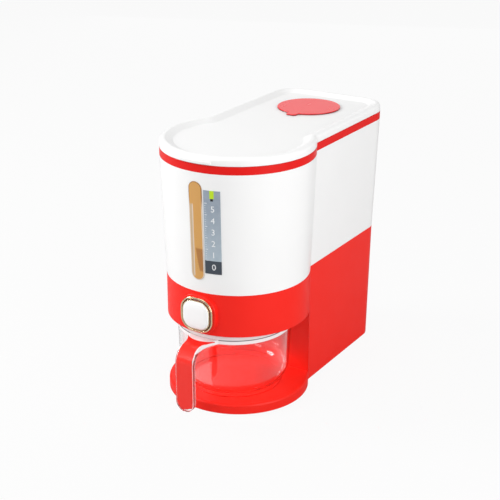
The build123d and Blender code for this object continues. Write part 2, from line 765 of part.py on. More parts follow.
# Lid: rounded rim, sunken panel, finger tab, and a skirt with a groove for the seal
with BuildPart() as lid:
    with BuildSketch(level(lid_bottom)):
        add(keyhole(0))
    extrude(amount=LID_HEIGHT)
    fillet(lid.faces().sort_by(Axis.Z).last.edges(), LID_EDGE)
    with BuildSketch(level(lid_panel)):
        add(keyhole(LID_RIM + LID_SLOPE))
    with BuildSketch(level(lid_top)):
        add(keyhole(LID_RIM))
    loft(ruled=True, mode=Mode.SUBTRACT)
    with BuildSketch(level(lid_bottom + TAB_LIFT)) as tab_plan:
        Circle(FRONT_RADIUS + TAB_REACH)
        with Locations((0, -FRONT_RADIUS)):
            Rectangle(TAB_WIDTH, FRONT_RADIUS, mode=Mode.INTERSECT)
        fillet(tab_plan.vertices().sort_by(Axis.Y)[:2], TAB_CORNER)
    extrude(amount=TAB_THICKNESS)
    with BuildSketch(level(lid_bottom)):
        add(keyhole(LID_SKIN))
    extrude(amount=lid_under - lid_bottom, mode=Mode.SUBTRACT)
    with BuildSketch(level(lid_under)):
        add(keyhole_band(LID_SKIN, LID_RIM))
    extrude(amount=lid_top - LID_SKIN - lid_under, mode=Mode.SUBTRACT)
    with BuildSketch(level(skirt_bottom)):
        add(keyhole_band(skirt_inset, skirt_inset + SKIRT_WALL))
    extrude(amount=lid_top - LID_SKIN - skirt_bottom)
    with BuildSketch(level(seal_bottom - SEAT_GAP)):
        add(keyhole_band(skirt_inset, skirt_inset + SEAL_BITE))
    extrude(amount=SEAL_HEIGHT + 2 * SEAT_GAP, mode=Mode.SUBTRACT)
    with BuildSketch(level(lid_panel)):
        with Locations((0, cap_centre)):
            Circle(HOLDER_RADIUS + HOLDER_FLANGE + SEAT_GAP)
    extrude(amount=-HOLDER_FLANGE_THICKNESS, mode=Mode.SUBTRACT)
    with BuildSketch(level(lid_panel)):
        with Locations((0, cap_centre)):
            Circle(HOLDER_RADIUS + SEAT_GAP)
    extrude(amount=-LID_SKIN, mode=Mode.SUBTRACT)
lid.part.label = "lid"
export_step(lid.part, "parts/lid.step")

with BuildPart() as lid_seal:
    with BuildSketch(level(seal_bottom)):
        add(keyhole_band(COLLAR_WALL + RUN_GAP, skirt_inset + SEAL_BITE - SEAT_GAP))
    extrude(amount=SEAL_HEIGHT)
lid_seal.part.label = "lid_seal"
export_step(lid_seal.part, "parts/lid_seal.step")

# Holder for a drying agent, hung in the lid, and the cap that closes it
with BuildPart() as desiccant_holder:
    with BuildSketch(level(lid_panel)):
        with Locations((0, cap_centre)):
            Circle(HOLDER_RADIUS + HOLDER_FLANGE)
    extrude(amount=-HOLDER_FLANGE_THICKNESS)
    with BuildSketch(level(lid_panel)):
        with Locations((0, cap_centre)):
            Circle(HOLDER_RADIUS)
    extrude(amount=-HOLDER_DEPTH)
    with BuildSketch(level(lid_panel)):
        with Locations((0, cap_centre)):
            Circle(holder_inner)
    extrude(amount=-(HOLDER_DEPTH - HOLDER_WALL), mode=Mode.SUBTRACT)
    with BuildSketch(level(lid_panel - HOLDER_DEPTH)):
        with Locations((0, cap_centre)):
            with PolarLocations(VENT_CIRCLE, VENT_COUNT):
                Circle(VENT_RADIUS)
    extrude(amount=HOLDER_WALL, mode=Mode.SUBTRACT)
desiccant_holder.part.label = "desiccant_holder"
export_step(desiccant_holder.part, "parts/desiccant_holder.step")

with BuildPart() as desiccant_cap:
    with BuildSketch(level(cap_bottom)) as cap_plan:
        with Locations((0, cap_centre - CAP_RADIUS - CAP_TAB_REACH)):
            Rectangle(CAP_TAB_WIDTH, CAP_RADIUS, align=(Align.CENTER, Align.MIN))
        fillet(cap_plan.vertices().group_by(Axis.Y)[0], CAP_TAB_WIDTH / 3)
        with Locations((0, cap_centre)):
            Circle(CAP_RADIUS)
    extrude(amount=CAP_THICKNESS)
    fillet(desiccant_cap.faces().sort_by(Axis.Z).last.edges(), CAP_EDGE)
    with BuildSketch(level(cap_bottom)):
        with Locations((0, cap_centre)):
            Circle(holder_inner - RUN_GAP)
            Circle(holder_inner - RUN_GAP - CAP_PLUG_WALL, mode=Mode.SUBTRACT)
    extrude(amount=-CAP_PLUG_DEPTH)
desiccant_cap.part.label = "desiccant_cap"
export_step(desiccant_cap.part, "parts/desiccant_cap.step")

# Red inlay on the outer face of the handle
with BuildPart() as handle_inlay:
    with BuildSketch(side_plane()):
        add(strap_profile(-rim_reach, HANDLE_FLOOR_GAP + INLAY_BOTTOM_GAP, INLAY_PROUD, INLAY_DEPTH))
    extrude(amount=2 * INLAY_FLARE, both=True)
    with BuildSketch(level(0)):
        with BuildLine():
            far = -handle_reach - HANDLE_THICKNESS
            bend = -rim_reach - INLAY_FLARE_LENGTH
            root = -rim_reach - INLAY_GAP
            Line((0, far), (INLAY_WIDTH / 2, far))
            Line((INLAY_WIDTH / 2, far), (INLAY_WIDTH / 2, bend))
            TangentArc((INLAY_WIDTH / 2, bend), (INLAY_FLARE, root), tangent=(0, 1))
            TangentArc((0, root - INLAY_NOTCH), (INLAY_FLARE, root), tangent=(1, 0))
            mirror(about=Plane.YZ)
        make_face()
    extrude(amount=cup_top, mode=Mode.INTERSECT)
    ends = handle_inlay.edges().filter_by(Axis.Y).group_by(Axis.Z)[0]
    fillet(ends, INLAY_WIDTH / 2 - SEAT_GAP)
handle_inlay.part.label = "handle_inlay"
export_step(handle_inlay.part, "parts/handle_inlay.step")

# Strap of the handle, clear like the cup
with BuildPart() as handle_strap:
    with BuildSketch(side_plane()):
        add(strap_profile(-rim_reach + cup_radius / 2, HANDLE_FLOOR_GAP, 0, HANDLE_THICKNESS))
    extrude(amount=2 * HANDLE_FLARE, both=True)
    with BuildSketch(level(0)):
        with BuildLine():
            far = -handle_reach - HANDLE_THICKNESS
            bend = -rim_reach - HANDLE_FLARE_LENGTH
            root = cup_axis - sqrt(cup_radius**2 - HANDLE_FLARE**2) + CUP_WALL / 2
            Line((0, far), (HANDLE_WIDTH / 2, far))
            Line((HANDLE_WIDTH / 2, far), (HANDLE_WIDTH / 2, bend))
            TangentArc((HANDLE_WIDTH / 2, bend), (HANDLE_FLARE, root), tangent=(0, 1))
            Line((HANDLE_FLARE, root), (0, root))
            mirror(about=Plane.YZ)
        make_face()
    extrude(amount=cup_top, mode=Mode.INTERSECT)
    ends = handle_strap.edges().filter_by(Axis.Y).group_by(Axis.Z)[0]
    fillet(ends, HANDLE_WIDTH / 2 - SEAT_GAP)

# Measuring cup: a turned bowl with a thick rim, and the strap grown onto it
with BuildPart() as measuring_cup:
    with BuildSketch(front_plane(cup_forward)):
        add(cup_profile(0, cup_top))
    revolve(axis=upright(cup_forward))
    with BuildSketch(level(cup_top)):
        with Locations((0, cup_axis)):
            Circle(cup_radius + CUP_RIM_PROUD)
    extrude(amount=-CUP_RIM_HEIGHT)
    with BuildSketch(level(cup_top - (CUP_RIM_HEIGHT - CUP_RIM_GROOVE) / 2)):
        with Locations((0, cup_axis)):
            Circle(cup_radius + 2 * CUP_RIM_PROUD)
            Circle(cup_radius + CUP_RIM_PROUD - CUP_RIM_GROOVE_DEPTH, mode=Mode.SUBTRACT)
    extrude(amount=-CUP_RIM_GROOVE, mode=Mode.SUBTRACT)
    add(handle_strap.part)
    with BuildSketch(front_plane(cup_forward)):
        add(cup_profile(CUP_WALL, cup_top))
    revolve(axis=upright(cup_forward), mode=Mode.SUBTRACT)
    add(handle_inlay.part, mode=Mode.SUBTRACT)
measuring_cup.part.label = "measuring_cup"
export_step(measuring_cup.part, "parts/measuring_cup.step")
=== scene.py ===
import logging
import math
from collections.abc import Callable, Iterator, Sequence
from contextlib import contextmanager
from dataclasses import dataclass, replace
from enum import Enum

import bpy
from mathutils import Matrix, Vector


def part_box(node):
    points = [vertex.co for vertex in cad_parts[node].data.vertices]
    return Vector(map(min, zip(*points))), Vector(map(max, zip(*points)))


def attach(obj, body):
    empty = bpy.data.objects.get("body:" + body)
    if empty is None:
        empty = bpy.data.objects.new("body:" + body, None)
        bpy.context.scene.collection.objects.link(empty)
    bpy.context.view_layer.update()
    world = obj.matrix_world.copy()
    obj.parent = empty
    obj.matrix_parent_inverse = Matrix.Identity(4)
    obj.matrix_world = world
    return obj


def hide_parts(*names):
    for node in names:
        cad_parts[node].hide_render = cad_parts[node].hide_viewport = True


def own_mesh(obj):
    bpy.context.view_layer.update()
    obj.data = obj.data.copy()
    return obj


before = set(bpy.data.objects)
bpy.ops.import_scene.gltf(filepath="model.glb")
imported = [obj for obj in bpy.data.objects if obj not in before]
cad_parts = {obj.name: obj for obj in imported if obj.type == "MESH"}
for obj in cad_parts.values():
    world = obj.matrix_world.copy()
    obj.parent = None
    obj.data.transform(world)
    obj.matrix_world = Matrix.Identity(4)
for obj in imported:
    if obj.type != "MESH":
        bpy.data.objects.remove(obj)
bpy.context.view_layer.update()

MM = 0.001
# Points that lie nearer than this are merged.
DOUBLED = 0.002 * MM
# A face looks along an axis if its normal has at least this much of it.
FACING = 0.9
# Rays that soften an edge in shading.
EDGE_SAMPLES = 4
LOG = logging.getLogger("rice_box")

Colour = tuple[float, float, float]
Socket = bpy.types.NodeSocket
Piece = bpy.types.Object


class Body(Enum):
    """Bodies of the model that the modelled pieces ride on."""

    HOUSING = "housing"
    CUP = "cup"
    BUTTON = "button"


class Slot(Enum):
    """Material slots of the model's record that the modelled pieces belong to."""

    WHITE = "white_plastic"
    CLEAR = "clear_plastic"
    AMBER = "amber_plastic"
    LABEL = "label_film"
    STEEL = "steel"


@dataclass(frozen=True)
class Grain:
    """Fine unevenness of a surface: blobs per metre, share that shows, depth and edge radius."""

    scale: float
    strength: float
    depth: float
    edge: float


class Graph:
    """Adds and links the shader nodes of one material."""

    def __init__(self, name: str) -> None:
        """Starts an empty material.

        Args:
            name: name of the material.
        """
        self.material = bpy.data.materials.new(name)
        self.material.use_nodes = True
        self.tree = self.material.node_tree
        self.tree.nodes.clear()
        self.output = self.add("ShaderNodeOutputMaterial")

    def add(self, kind: str, **settings: object) -> bpy.types.Node:
        """Adds a node.

        Args:
            kind: Blender's type name of the node.
            settings: attributes to set on it.

        Returns:
            The new node.
        """
        node = self.tree.nodes.new(kind)
        for key, value in settings.items():
            setattr(node, key, value)
        return node

    def feed(self, socket: Socket, source: object) -> None:
        """Links a socket to another one, or sets its own value.

        Args:
            socket: the input socket.
            source: the socket that feeds it, or its value.
        """
        if isinstance(source, Socket):
            self.tree.links.new(source, socket)
        else:
            socket.default_value = source

    def place(self) -> Socket:
        """Gives the place of the shaded point, in metres."""
        return self.add("ShaderNodeTexCoord").outputs["Object"]

    def split(self, vector: Socket) -> tuple[Socket, Socket, Socket]:
        """Gives the three parts of a vector.

        Args:
            vector: the socket with the vector.

        Returns:
            The sockets with its X, Y and Z.
        """
        node = self.add("ShaderNodeSeparateXYZ")
        self.feed(node.inputs[0], vector)
        return node.outputs[0], node.outputs[1], node.outputs[2]

    def maths(self, operation: str, first: object, second: object = 0.0) -> Socket:
        """Combines two values.

        Args:
            operation: Blender's name of the operation.
            first: a socket or a number.
            second: a socket or a number.

        Returns:
            The socket with the result.
        """
        node = self.add("ShaderNodeMath", operation=operation)
        self.feed(node.inputs[0], first)
        self.feed(node.inputs[1], second)
        return node.outputs[0]

    def step(self, value: object, low: float, high: float) -> Socket:
        """Gives a smooth step of a value.

        Args:
            value: a socket or a number.
            low: the step is 0 below this value.
            high: the step is 1 above this value.

        Returns:
            The socket with the step.
        """
        node = self.add("ShaderNodeMapRange", interpolation_type="SMOOTHSTEP")
        self.feed(node.inputs["Value"], value)
        node.inputs["From Min"].default_value = low
        node.inputs["From Max"].default_value = high
        return node.outputs[0]

    def span(self, value: object, low: float, high: float, soft: float) -> Socket:
        """Gives 1 between two limits and 0 outside, with soft edges.

        Args:
            value: a socket or a number.
            low: the lower limit.
            high: the upper limit.
            soft: half the width of each edge.

        Returns:
            The socket with the share.
        """
        rise = self.step(value, low - soft, low + soft)
        fall = self.step(value, high - soft, high + soft)
        return self.maths("SUBTRACT", rise, fall)

    def ranged(self, value: Socket, low: float, high: float) -> Socket:
        """Stretches a value from 0 to 1 over a range.

        Args:
            value: the socket with the value.
            low: result at 0.
            high: result at 1.

        Returns:
            The socket with the result.
        """
        node = self.add("ShaderNodeMapRange")
        self.feed(node.inputs["Value"], value)
        node.inputs["To Min"].default_value = low
        node.inputs["To Max"].default_value = high
        return node.outputs[0]

    def noise(self, scale: float, detail: float = 2.0) -> Socket:
        """Gives soft noise over the piece.

        Args:
            scale: number of blobs per metre.
            detail: number of finer layers.

        Returns:
            The socket with the noise, from 0 to 1.
        """
        node = self.add("ShaderNodeTexNoise")
        self.feed(node.inputs["Vector"], self.place())
        node.inputs["Scale"].default_value = scale
        node.inputs["Detail"].default_value = detail
        return node.outputs["Fac"]

    def mix(self, share: object, first: object, second: object) -> Socket:
        """Mixes two colours.

        Args:
            share: how much of the second colour, a socket or a number.
            first: a socket or a colour.
            second: a socket or a colour.

        Returns:
            The socket with the mixed colour.
        """
        node = self.add("ShaderNodeMix", data_type="RGBA")
        self.feed(node.inputs["Factor"], share)
        for socket, source in ((node.inputs["A"], first), (node.inputs["B"], second)):
            self.feed(socket, source if isinstance(source, Socket) else (*source, 1.0))
        return node.outputs["Result"]

    def grained(self, grain: Grain) -> Socket:
        """Gives the normal of a finely uneven surface with softened edges.

        Args:
            grain: the unevenness.

        Returns:
            The socket with the normal.
        """
        bevel = self.add("ShaderNodeBevel", samples=EDGE_SAMPLES)
        bevel.inputs["Radius"].default_value = grain.edge
        node = self.add("ShaderNodeBump")
        node.inputs["Strength"].default_value = grain.strength
        node.inputs["Distance"].default_value = grain.depth
        self.feed(node.inputs["Height"], self.noise(grain.scale))
        self.feed(node.inputs["Normal"], bevel.outputs[0])
        return node.outputs[0]

    def shade(self, **inputs: object) -> bpy.types.Node:
        """Adds the main shader and links it to the output.

        Args:
            inputs: values or sockets by input name, with underscores for spaces.

        Returns:
            The shader node.
        """
        node = self.add("ShaderNodeBsdfPrincipled")
        for key, source in inputs.items():
            socket = node.inputs[key.replace("_", " ")]
            if isinstance(source, tuple) and len(source) == 3:
                source = (*source, 1.0)
            self.feed(socket, source)
        self.feed(self.output.inputs["Surface"], node.outputs[0])
        return node

    def blend(self, share: Socket, first: bpy.types.Node, second: bpy.types.Node) -> None:
        """Mixes two shaders and links the mixture to the output.

        Args:
            share: how much of the second shader.
            first: a shader node.
            second: a shader node.
        """
        node = self.add("ShaderNodeMixShader")
        for socket, source in zip(node.inputs, (share, first.outputs[0], second.outputs[0])):
            self.feed(socket, source)
        self.feed(self.output.inputs["Surface"], node.outputs[0])


@dataclass(frozen=True)
class MouldedPlastic:
    """Satin injection-moulded plastic with a fine grain."""

    name: str
    colour: Colour
    shade: Colour
    roughness: float = 0.32
    coat: float = 0.0
    gloss: float = 0.5
    grain: Grain = Grain(2400.0, 0.12, 0.03 * MM, 0.8 * MM)
    cloud_scale: float = 11.0
    smudge_scale: float = 45.0
    smudge_detail: float = 3.0
    smudge: float = 0.05
    coat_roughness: float = 0.12
    index: float = 1.49

    def tone(self, graph: Graph) -> Socket:
        """Gives the clouded colour."""
        return graph.mix(graph.noise(self.cloud_scale), self.colour, self.shade)

    def material(self) -> bpy.types.Material:
        """Builds the material."""
        graph = Graph(self.name)
        smudge = graph.noise(self.smudge_scale, self.smudge_detail)
        graph.shade(
            Base_Color=self.tone(graph),
            Roughness=graph.ranged(smudge, self.roughness - self.smudge, self.roughness + self.smudge),
            Normal=graph.grained(self.grain),
            Specular_IOR_Level=self.gloss,
            Coat_Weight=self.coat,
            Coat_Roughness=self.coat_roughness,
            IOR=self.index,
        )
        return graph.material


@dataclass(frozen=True)
class EdgedPlastic(MouldedPlastic):
    """Moulded plastic with painted shade on its edge below the upper face."""

    face_height: float = 0.0
    # Colour of the painted shade on the edge below the upper face.
    deep: Colour = (0.28, 0.006, 0.008)
    fade_low: float = 0.8 * MM
    fade_high: float = 0.2 * MM

    def tone(self, graph: Graph) -> Socket:
        """Gives the clouded colour, with painted shade below the upper face.

        Args:
            graph: the material's nodes.

        Returns:
            The socket with the colour.
        """
        height = graph.split(graph.place())[2]
        # The edge below the upper face is mixed towards the deep colour as painted shade.
        face = graph.step(height, self.face_height - self.fade_low, self.face_height - self.fade_high)
        return graph.mix(face, self.deep, super().tone(graph))


@dataclass(frozen=True)
class ClearPlastic:
    """Polished clear plastic with a milky rim, which lets the light through to what is behind it."""

    name: str
    rim_low: float
    groove_height: float
    axis_y: float
    radius: float
    groove_half: float = 0.6 * MM
    tint: Colour = (0.985, 0.985, 0.99)
    milk: Colour = (0.95, 0.95, 0.955)
    shadow: Colour = (0.16, 0.16, 0.17)
    ripple: Grain = Grain(55.0, 0.05, 0.2 * MM, 0.2 * MM)
    rim_fade: float = 0.8 * MM
    rim_roughness: float = 0.2
    milkiness: float = 0.8
    groove_fade: float = 0.15 * MM
    groove_reach: float = 0.2 * MM
    reach_fade: float = 0.1 * MM
    smear_scale: float = 90.0
    smear: float = 0.03
    index: float = 1.42

    def groove(self, graph: Graph) -> Socket:
        """Gives the share of the painted shadow line in the groove round the rim, which leaves out the
        strap.

        Args:
            graph: the material's nodes.

        Returns:
            The socket with the share.
        """
        x, y, up = graph.split(graph.place())
        behind = graph.maths("POWER", graph.maths("SUBTRACT", y, self.axis_y), 2.0)
        reach = graph.maths("SQRT", graph.maths("ADD", graph.maths("POWER", x, 2.0), behind))
        low, high = self.groove_height - self.groove_half, self.groove_height + self.groove_half
        line = graph.span(up, low, high, self.groove_fade)
        near = graph.span(reach, 0.0, self.radius + self.groove_reach, self.reach_fade)
        return graph.maths("MULTIPLY", line, near)

    def material(self) -> bpy.types.Material:
        """Builds the material, which shadow rays pass through."""
        graph = Graph(self.name)
        up = graph.split(graph.place())[2]
        rim = graph.step(up, self.rim_low, self.rim_low + self.rim_fade)
        colour = graph.mix(rim, self.tint, self.milk)
        smear = graph.ranged(graph.noise(self.smear_scale), 0.0, self.smear)
        shader = graph.shade(
            # The groove's dark line is painted shadow.
            Base_Color=graph.mix(self.groove(graph), colour, self.shadow),
            Roughness=graph.maths("ADD", smear, graph.maths("MULTIPLY", rim, self.rim_roughness)),
            Normal=graph.grained(self.ripple),
            Transmission_Weight=graph.ranged(rim, 1.0, 1.0 - self.milkiness),
            IOR=self.index,
        )
        through = graph.add("ShaderNodeBsdfTransparent")
        through.inputs["Color"].default_value = (*self.tint, 1.0)
        rays = graph.add("ShaderNodeLightPath")
        graph.blend(rays.outputs["Is Shadow Ray"], shader, through)
        return graph.material


@dataclass(frozen=True)
class PlatedTrim:
    """Bright plated metal with faint polishing marks."""

    name: str
    colour: Colour
    shade: Colour
    roughness: float = 0.14
    cloud_scale: float = 130.0
    mark_scale: float = 900.0
    mark_detail: float = 4.0
    mark_roughness: float = 0.1
    grain: Grain = Grain(1500.0, 0.05, 0.02 * MM, 0.4 * MM)

    def material(self) -> bpy.types.Material:
        """Builds the material."""
        graph = Graph(self.name)
        marks = graph.noise(self.mark_scale, self.mark_detail)
        graph.shade(
            Base_Color=graph.mix(graph.noise(self.cloud_scale), self.colour, self.shade),
            Metallic=1.0,
            Roughness=graph.ranged(marks, self.roughness, self.roughness + self.mark_roughness),
            Normal=graph.grained(self.grain),
        )
        return graph.material


@dataclass(frozen=True)
class SoftRubber:
    """Matt rubber or silicone with a dusty, uneven skin."""

    name: str
    colour: Colour
    shade: Colour
    roughness: float = 0.75
    dust_scale: float = 70.0
    dust_detail: float = 4.0
    patch_scale: float = 200.0
    patch: float = 0.1
    grain: Grain = Grain(1800.0, 0.2, 0.05 * MM, 0.3 * MM)
    sheen: float = 0.2

    def material(self) -> bpy.types.Material:
        """Builds the material."""
        graph = Graph(self.name)
        dust = graph.noise(self.dust_scale, self.dust_detail)
        patches = graph.noise(self.patch_scale)
        graph.shade(
            Base_Color=graph.mix(dust, self.colour, self.shade),
            Roughness=graph.ranged(patches, self.roughness - self.patch, self.roughness + self.patch),
            Normal=graph.grained(self.grain),
            Sheen_Weight=self.sheen,
        )
        return graph.material


@dataclass(frozen=True)
class AmberPane:
    """Amber see-through plastic, paler along one edge, with painted shade at its foot and painted
    highlights and shadow.

    Places up the pane are shares of its height, and places across it are shares of its half width.
    """

    name: str
    low: float
    high: float
    half_width: float
    body: Colour = (0.72, 0.36, 0.09)
    warm: Colour = (0.80, 0.43, 0.12)
    # Colour of the painted shade at the foot.
    deep: Colour = (0.50, 0.21, 0.045)
    pale: Colour = (0.66, 0.50, 0.34)
    # Colour of the painted highlights: the line beside the pale strip and the lower border.
    glint: Colour = (0.93, 0.86, 0.76)
    # Colour of the painted shadow line along the top of the border.
    rim: Colour = (0.34, 0.15, 0.04)
    cloud_scale: float = 22.0
    cloud_detail: float = 3.0
    wobble_scale: float = 28.0
    wobble: float = 0.12
    foot_low: float = 0.10
    foot_high: float = 0.33
    foot_soft: float = 0.012
    foot_slant: float = 2.4
    foot_left: float = -0.25
    foot_right: float = -0.05
    strip_low: float = 0.04
    strip_high: float = 0.77
    strip_soft: float = 0.015
    strip_left: float = -0.80
    strip_right: float = -0.40
    strip_side_soft: float = 0.06
    strip_share: float = 0.85
    line_left: float = -0.46
    line_right: float = -0.34
    line_side_soft: float = 0.05
    line_share: float = 0.8
    border_outer: float = 0.9 * MM
    border_inner: float = 1.5 * MM
    border_share: float = 0.8
    # Shares of the height where the border turns from painted highlight to painted shadow.
    shade_low: float = 0.70
    shade_high: float = 0.86
    smear_scale: float = 60.0
    smear_low: float = 0.08
    smear_high: float = 0.18
    ripple: Grain = Grain(35.0, 0.05, 0.2 * MM, 0.3 * MM)
    clearness: float = 0.15
    coat: float = 0.6
    coat_roughness: float = 0.05
    index: float = 1.49

    def border(self, graph: Graph, across: Socket, up: Socket) -> Socket:
        """Gives the share of the border that runs round the oblong.

        Args:
            graph: the material's nodes.
            across: distance from the pane's middle line.
            up: height of the point.

        Returns:
            The socket with the share.
        """
        straight = (self.high - self.low) / 2 - self.half_width
        beyond = graph.maths("ABSOLUTE", graph.maths("SUBTRACT", up, (self.low + self.high) / 2))
        beyond = graph.maths("MAXIMUM", graph.maths("SUBTRACT", beyond, straight), 0.0)
        along, aside = (graph.maths("POWER", way, 2.0) for way in (beyond, across))
        reach = graph.maths("SQRT", graph.maths("ADD", along, aside))
        near = graph.maths("SUBTRACT", reach, self.half_width)
        return graph.step(near, -self.border_inner, -self.border_outer)

    def tone(self, graph: Graph) -> Socket:
        """Gives the colour: a cloudy amber with painted shade at its foot, a pale strip with a painted
        highlight line, and a border of painted highlight and painted shadow.

        Args:
            graph: the material's nodes.

        Returns:
            The socket with the colour.
        """
        across, _, up = graph.split(graph.place())
        rise = graph.maths("DIVIDE", graph.maths("SUBTRACT", up, self.low), self.high - self.low)
        wobble = graph.maths("MULTIPLY", graph.noise(self.wobble_scale), self.wobble)
        side = graph.maths("ADD", graph.maths("DIVIDE", across, self.half_width), wobble)
        colour = graph.mix(graph.noise(self.cloud_scale, self.cloud_detail), self.body, self.warm)
        # Painted shade at the foot, with a slanted edge.
        slant = graph.maths("MULTIPLY", graph.maths("SUBTRACT", self.foot_high, rise), self.foot_slant)
        aside = graph.step(graph.maths("SUBTRACT", side, slant), self.foot_left, self.foot_right)
        foot = graph.span(rise, self.foot_low, self.foot_high, self.foot_soft)
        colour = graph.mix(graph.maths("MULTIPLY", aside, foot), colour, self.deep)
        below = graph.span(rise, self.strip_low, self.strip_high, self.strip_soft)
        strip = graph.span(side, self.strip_left, self.strip_right, self.strip_side_soft)
        strip = graph.maths("MULTIPLY", graph.maths("MULTIPLY", strip, below), self.strip_share)
        colour = graph.mix(strip, colour, self.pale)
        # A painted highlight line beside the pale strip.
        line = graph.span(side, self.line_left, self.line_right, self.line_side_soft)
        line = graph.maths("MULTIPLY", graph.maths("MULTIPLY", line, below), self.line_share)
        colour = graph.mix(line, colour, self.glint)
        # The border is painted highlight low down and a painted shadow line at the top.
        edge = graph.mix(graph.step(rise, self.shade_low, self.shade_high), self.glint, self.rim)
        border = graph.maths("MULTIPLY", self.border(graph, across, up), self.border_share)
        return graph.mix(border, colour, edge)

    def material(self) -> bpy.types.Material:
        """Builds the material."""
        graph = Graph(self.name)
        graph.shade(
            Base_Color=self.tone(graph),
            Roughness=graph.ranged(graph.noise(self.smear_scale), self.smear_low, self.smear_high),
            Normal=graph.grained(self.ripple),
            Transmission_Weight=self.clearness,
            Coat_Weight=self.coat,
            Coat_Roughness=self.coat_roughness,
            IOR=self.index,
        )
        return graph.material


@dataclass(frozen=True)
class TickRow:
    """A row of even marks: half their thickness inside and outside their blur, and where they end."""

    core: float
    rim: float
    end: float
    per_level: int = 1


@dataclass(frozen=True)
class ScaleFilm:
    """Printed film of the scale: a blue-grey field, a slate block at its foot and a lime marker.

    The levels end below the head, and the marks a little higher. Places across are from the middle line.
    """

    name: str
    axis_y: float
    turn: float
    radius: float
    low: float
    high: float
    block_high: float
    field_top: Colour = (0.245, 0.30, 0.375)
    field_low: Colour = (0.37, 0.46, 0.53)
    block: Colour = (0.046, 0.06, 0.08)
    lime: Colour = (0.52, 0.75, 0.012)
    ink: Colour = (0.92, 0.93, 0.94)
    black: Colour = (0.004, 0.004, 0.004)
    levels: int = 5
    head: float = 16.0 * MM
    marks_head: float = 14.0 * MM
    tick_left: float = -9.4 * MM
    tick_soft: float = 0.08 * MM
    coarse: TickRow = TickRow(0.22 * MM, 0.38 * MM, -6.2 * MM)
    fine: TickRow = TickRow(0.12 * MM, 0.26 * MM, -7.8 * MM, 5)
    lime_half: float = 2.7 * MM
    lime_height: float = 10.0 * MM
    dot_half: float = 1.7 * MM
    dot_height: float = 3.0 * MM
    cloud_scale: float = 160.0
    cloud: float = 0.16
    soft: float = 0.1 * MM
    softer: float = 0.15 * MM
    smear_scale: float = 120.0
    smear_low: float = 0.3
    smear_high: float = 0.42
    grain: Grain = Grain(2000.0, 0.06, 0.02 * MM, 0.1 * MM)
    coat: float = 0.2

    def pitch(self) -> float:
        """Gives the height of one level."""
        return (self.high - self.head - self.block_high) / self.levels

    def ticks(self, graph: Graph, across: Socket, up: Socket, row: TickRow) -> Socket:
        """Gives the share of a row of even marks that start at the label's left.

        Args:
            graph: the material's nodes.
            across: distance from the label's middle line.
            up: height of the point.
            row: the marks.

        Returns:
            The socket with the share.
        """
        half_pitch = self.pitch() / row.per_level / 2
        beat = graph.maths("PINGPONG", graph.maths("SUBTRACT", up, self.block_high), half_pitch)
        gaps = graph.step(beat, row.core, row.rim)
        reach = graph.span(across, self.tick_left, row.end, self.tick_soft)
        return graph.maths("MULTIPLY", graph.maths("SUBTRACT", 1.0, gaps), reach)

    def tone(self, graph: Graph) -> Socket:
        """Gives the colour: the field, its marks, the block, the marker and the dot below it.

        Args:
            graph: the material's nodes.

        Returns:
            The socket with the colour.
        """
        x, y, up = graph.split(graph.place())
        ahead = graph.maths("SUBTRACT", self.axis_y, y)
        angle = graph.maths("SUBTRACT", graph.maths("ARCTAN2", x, ahead), self.turn)
        across = graph.maths("MULTIPLY", angle, self.radius)
        colour = graph.mix(graph.step(up, self.low, self.high), self.field_low, self.field_top)
        cloud = graph.maths("MULTIPLY", graph.noise(self.cloud_scale), self.cloud)
        colour = graph.mix(cloud, colour, self.ink)
        coarse, fine = (self.ticks(graph, across, up, row) for row in (self.coarse, self.fine))
        ruled = graph.span(up, self.block_high, self.high - self.marks_head, self.soft)
        marks = graph.maths("MULTIPLY", graph.maths("MAXIMUM", coarse, fine), ruled)
        colour = graph.mix(marks, colour, self.ink)
        above = graph.step(up, self.block_high - self.soft, self.block_high + self.soft)
        colour = graph.mix(graph.maths("SUBTRACT", 1.0, above), colour, self.block)
        lime_low = self.high - self.lime_height
        lime = graph.span(across, -self.lime_half, self.lime_half, self.softer)
        lime = graph.maths("MULTIPLY", lime, graph.step(up, lime_low, lime_low + 2 * self.softer))
        colour = graph.mix(lime, colour, self.lime)
        dot = graph.span(across, -self.dot_half, self.dot_half, self.softer)
        beside = graph.span(up, lime_low - self.dot_height, lime_low, self.softer)
        return graph.mix(graph.maths("MULTIPLY", dot, beside), colour, self.black)

    def material(self) -> bpy.types.Material:
        """Builds the material."""
        graph = Graph(self.name)
        graph.shade(
            Base_Color=self.tone(graph),
            Roughness=graph.ranged(graph.noise(self.smear_scale), self.smear_low, self.smear_high),
            Normal=graph.grained(self.grain),
            Coat_Weight=self.coat,
        )
        return graph.material


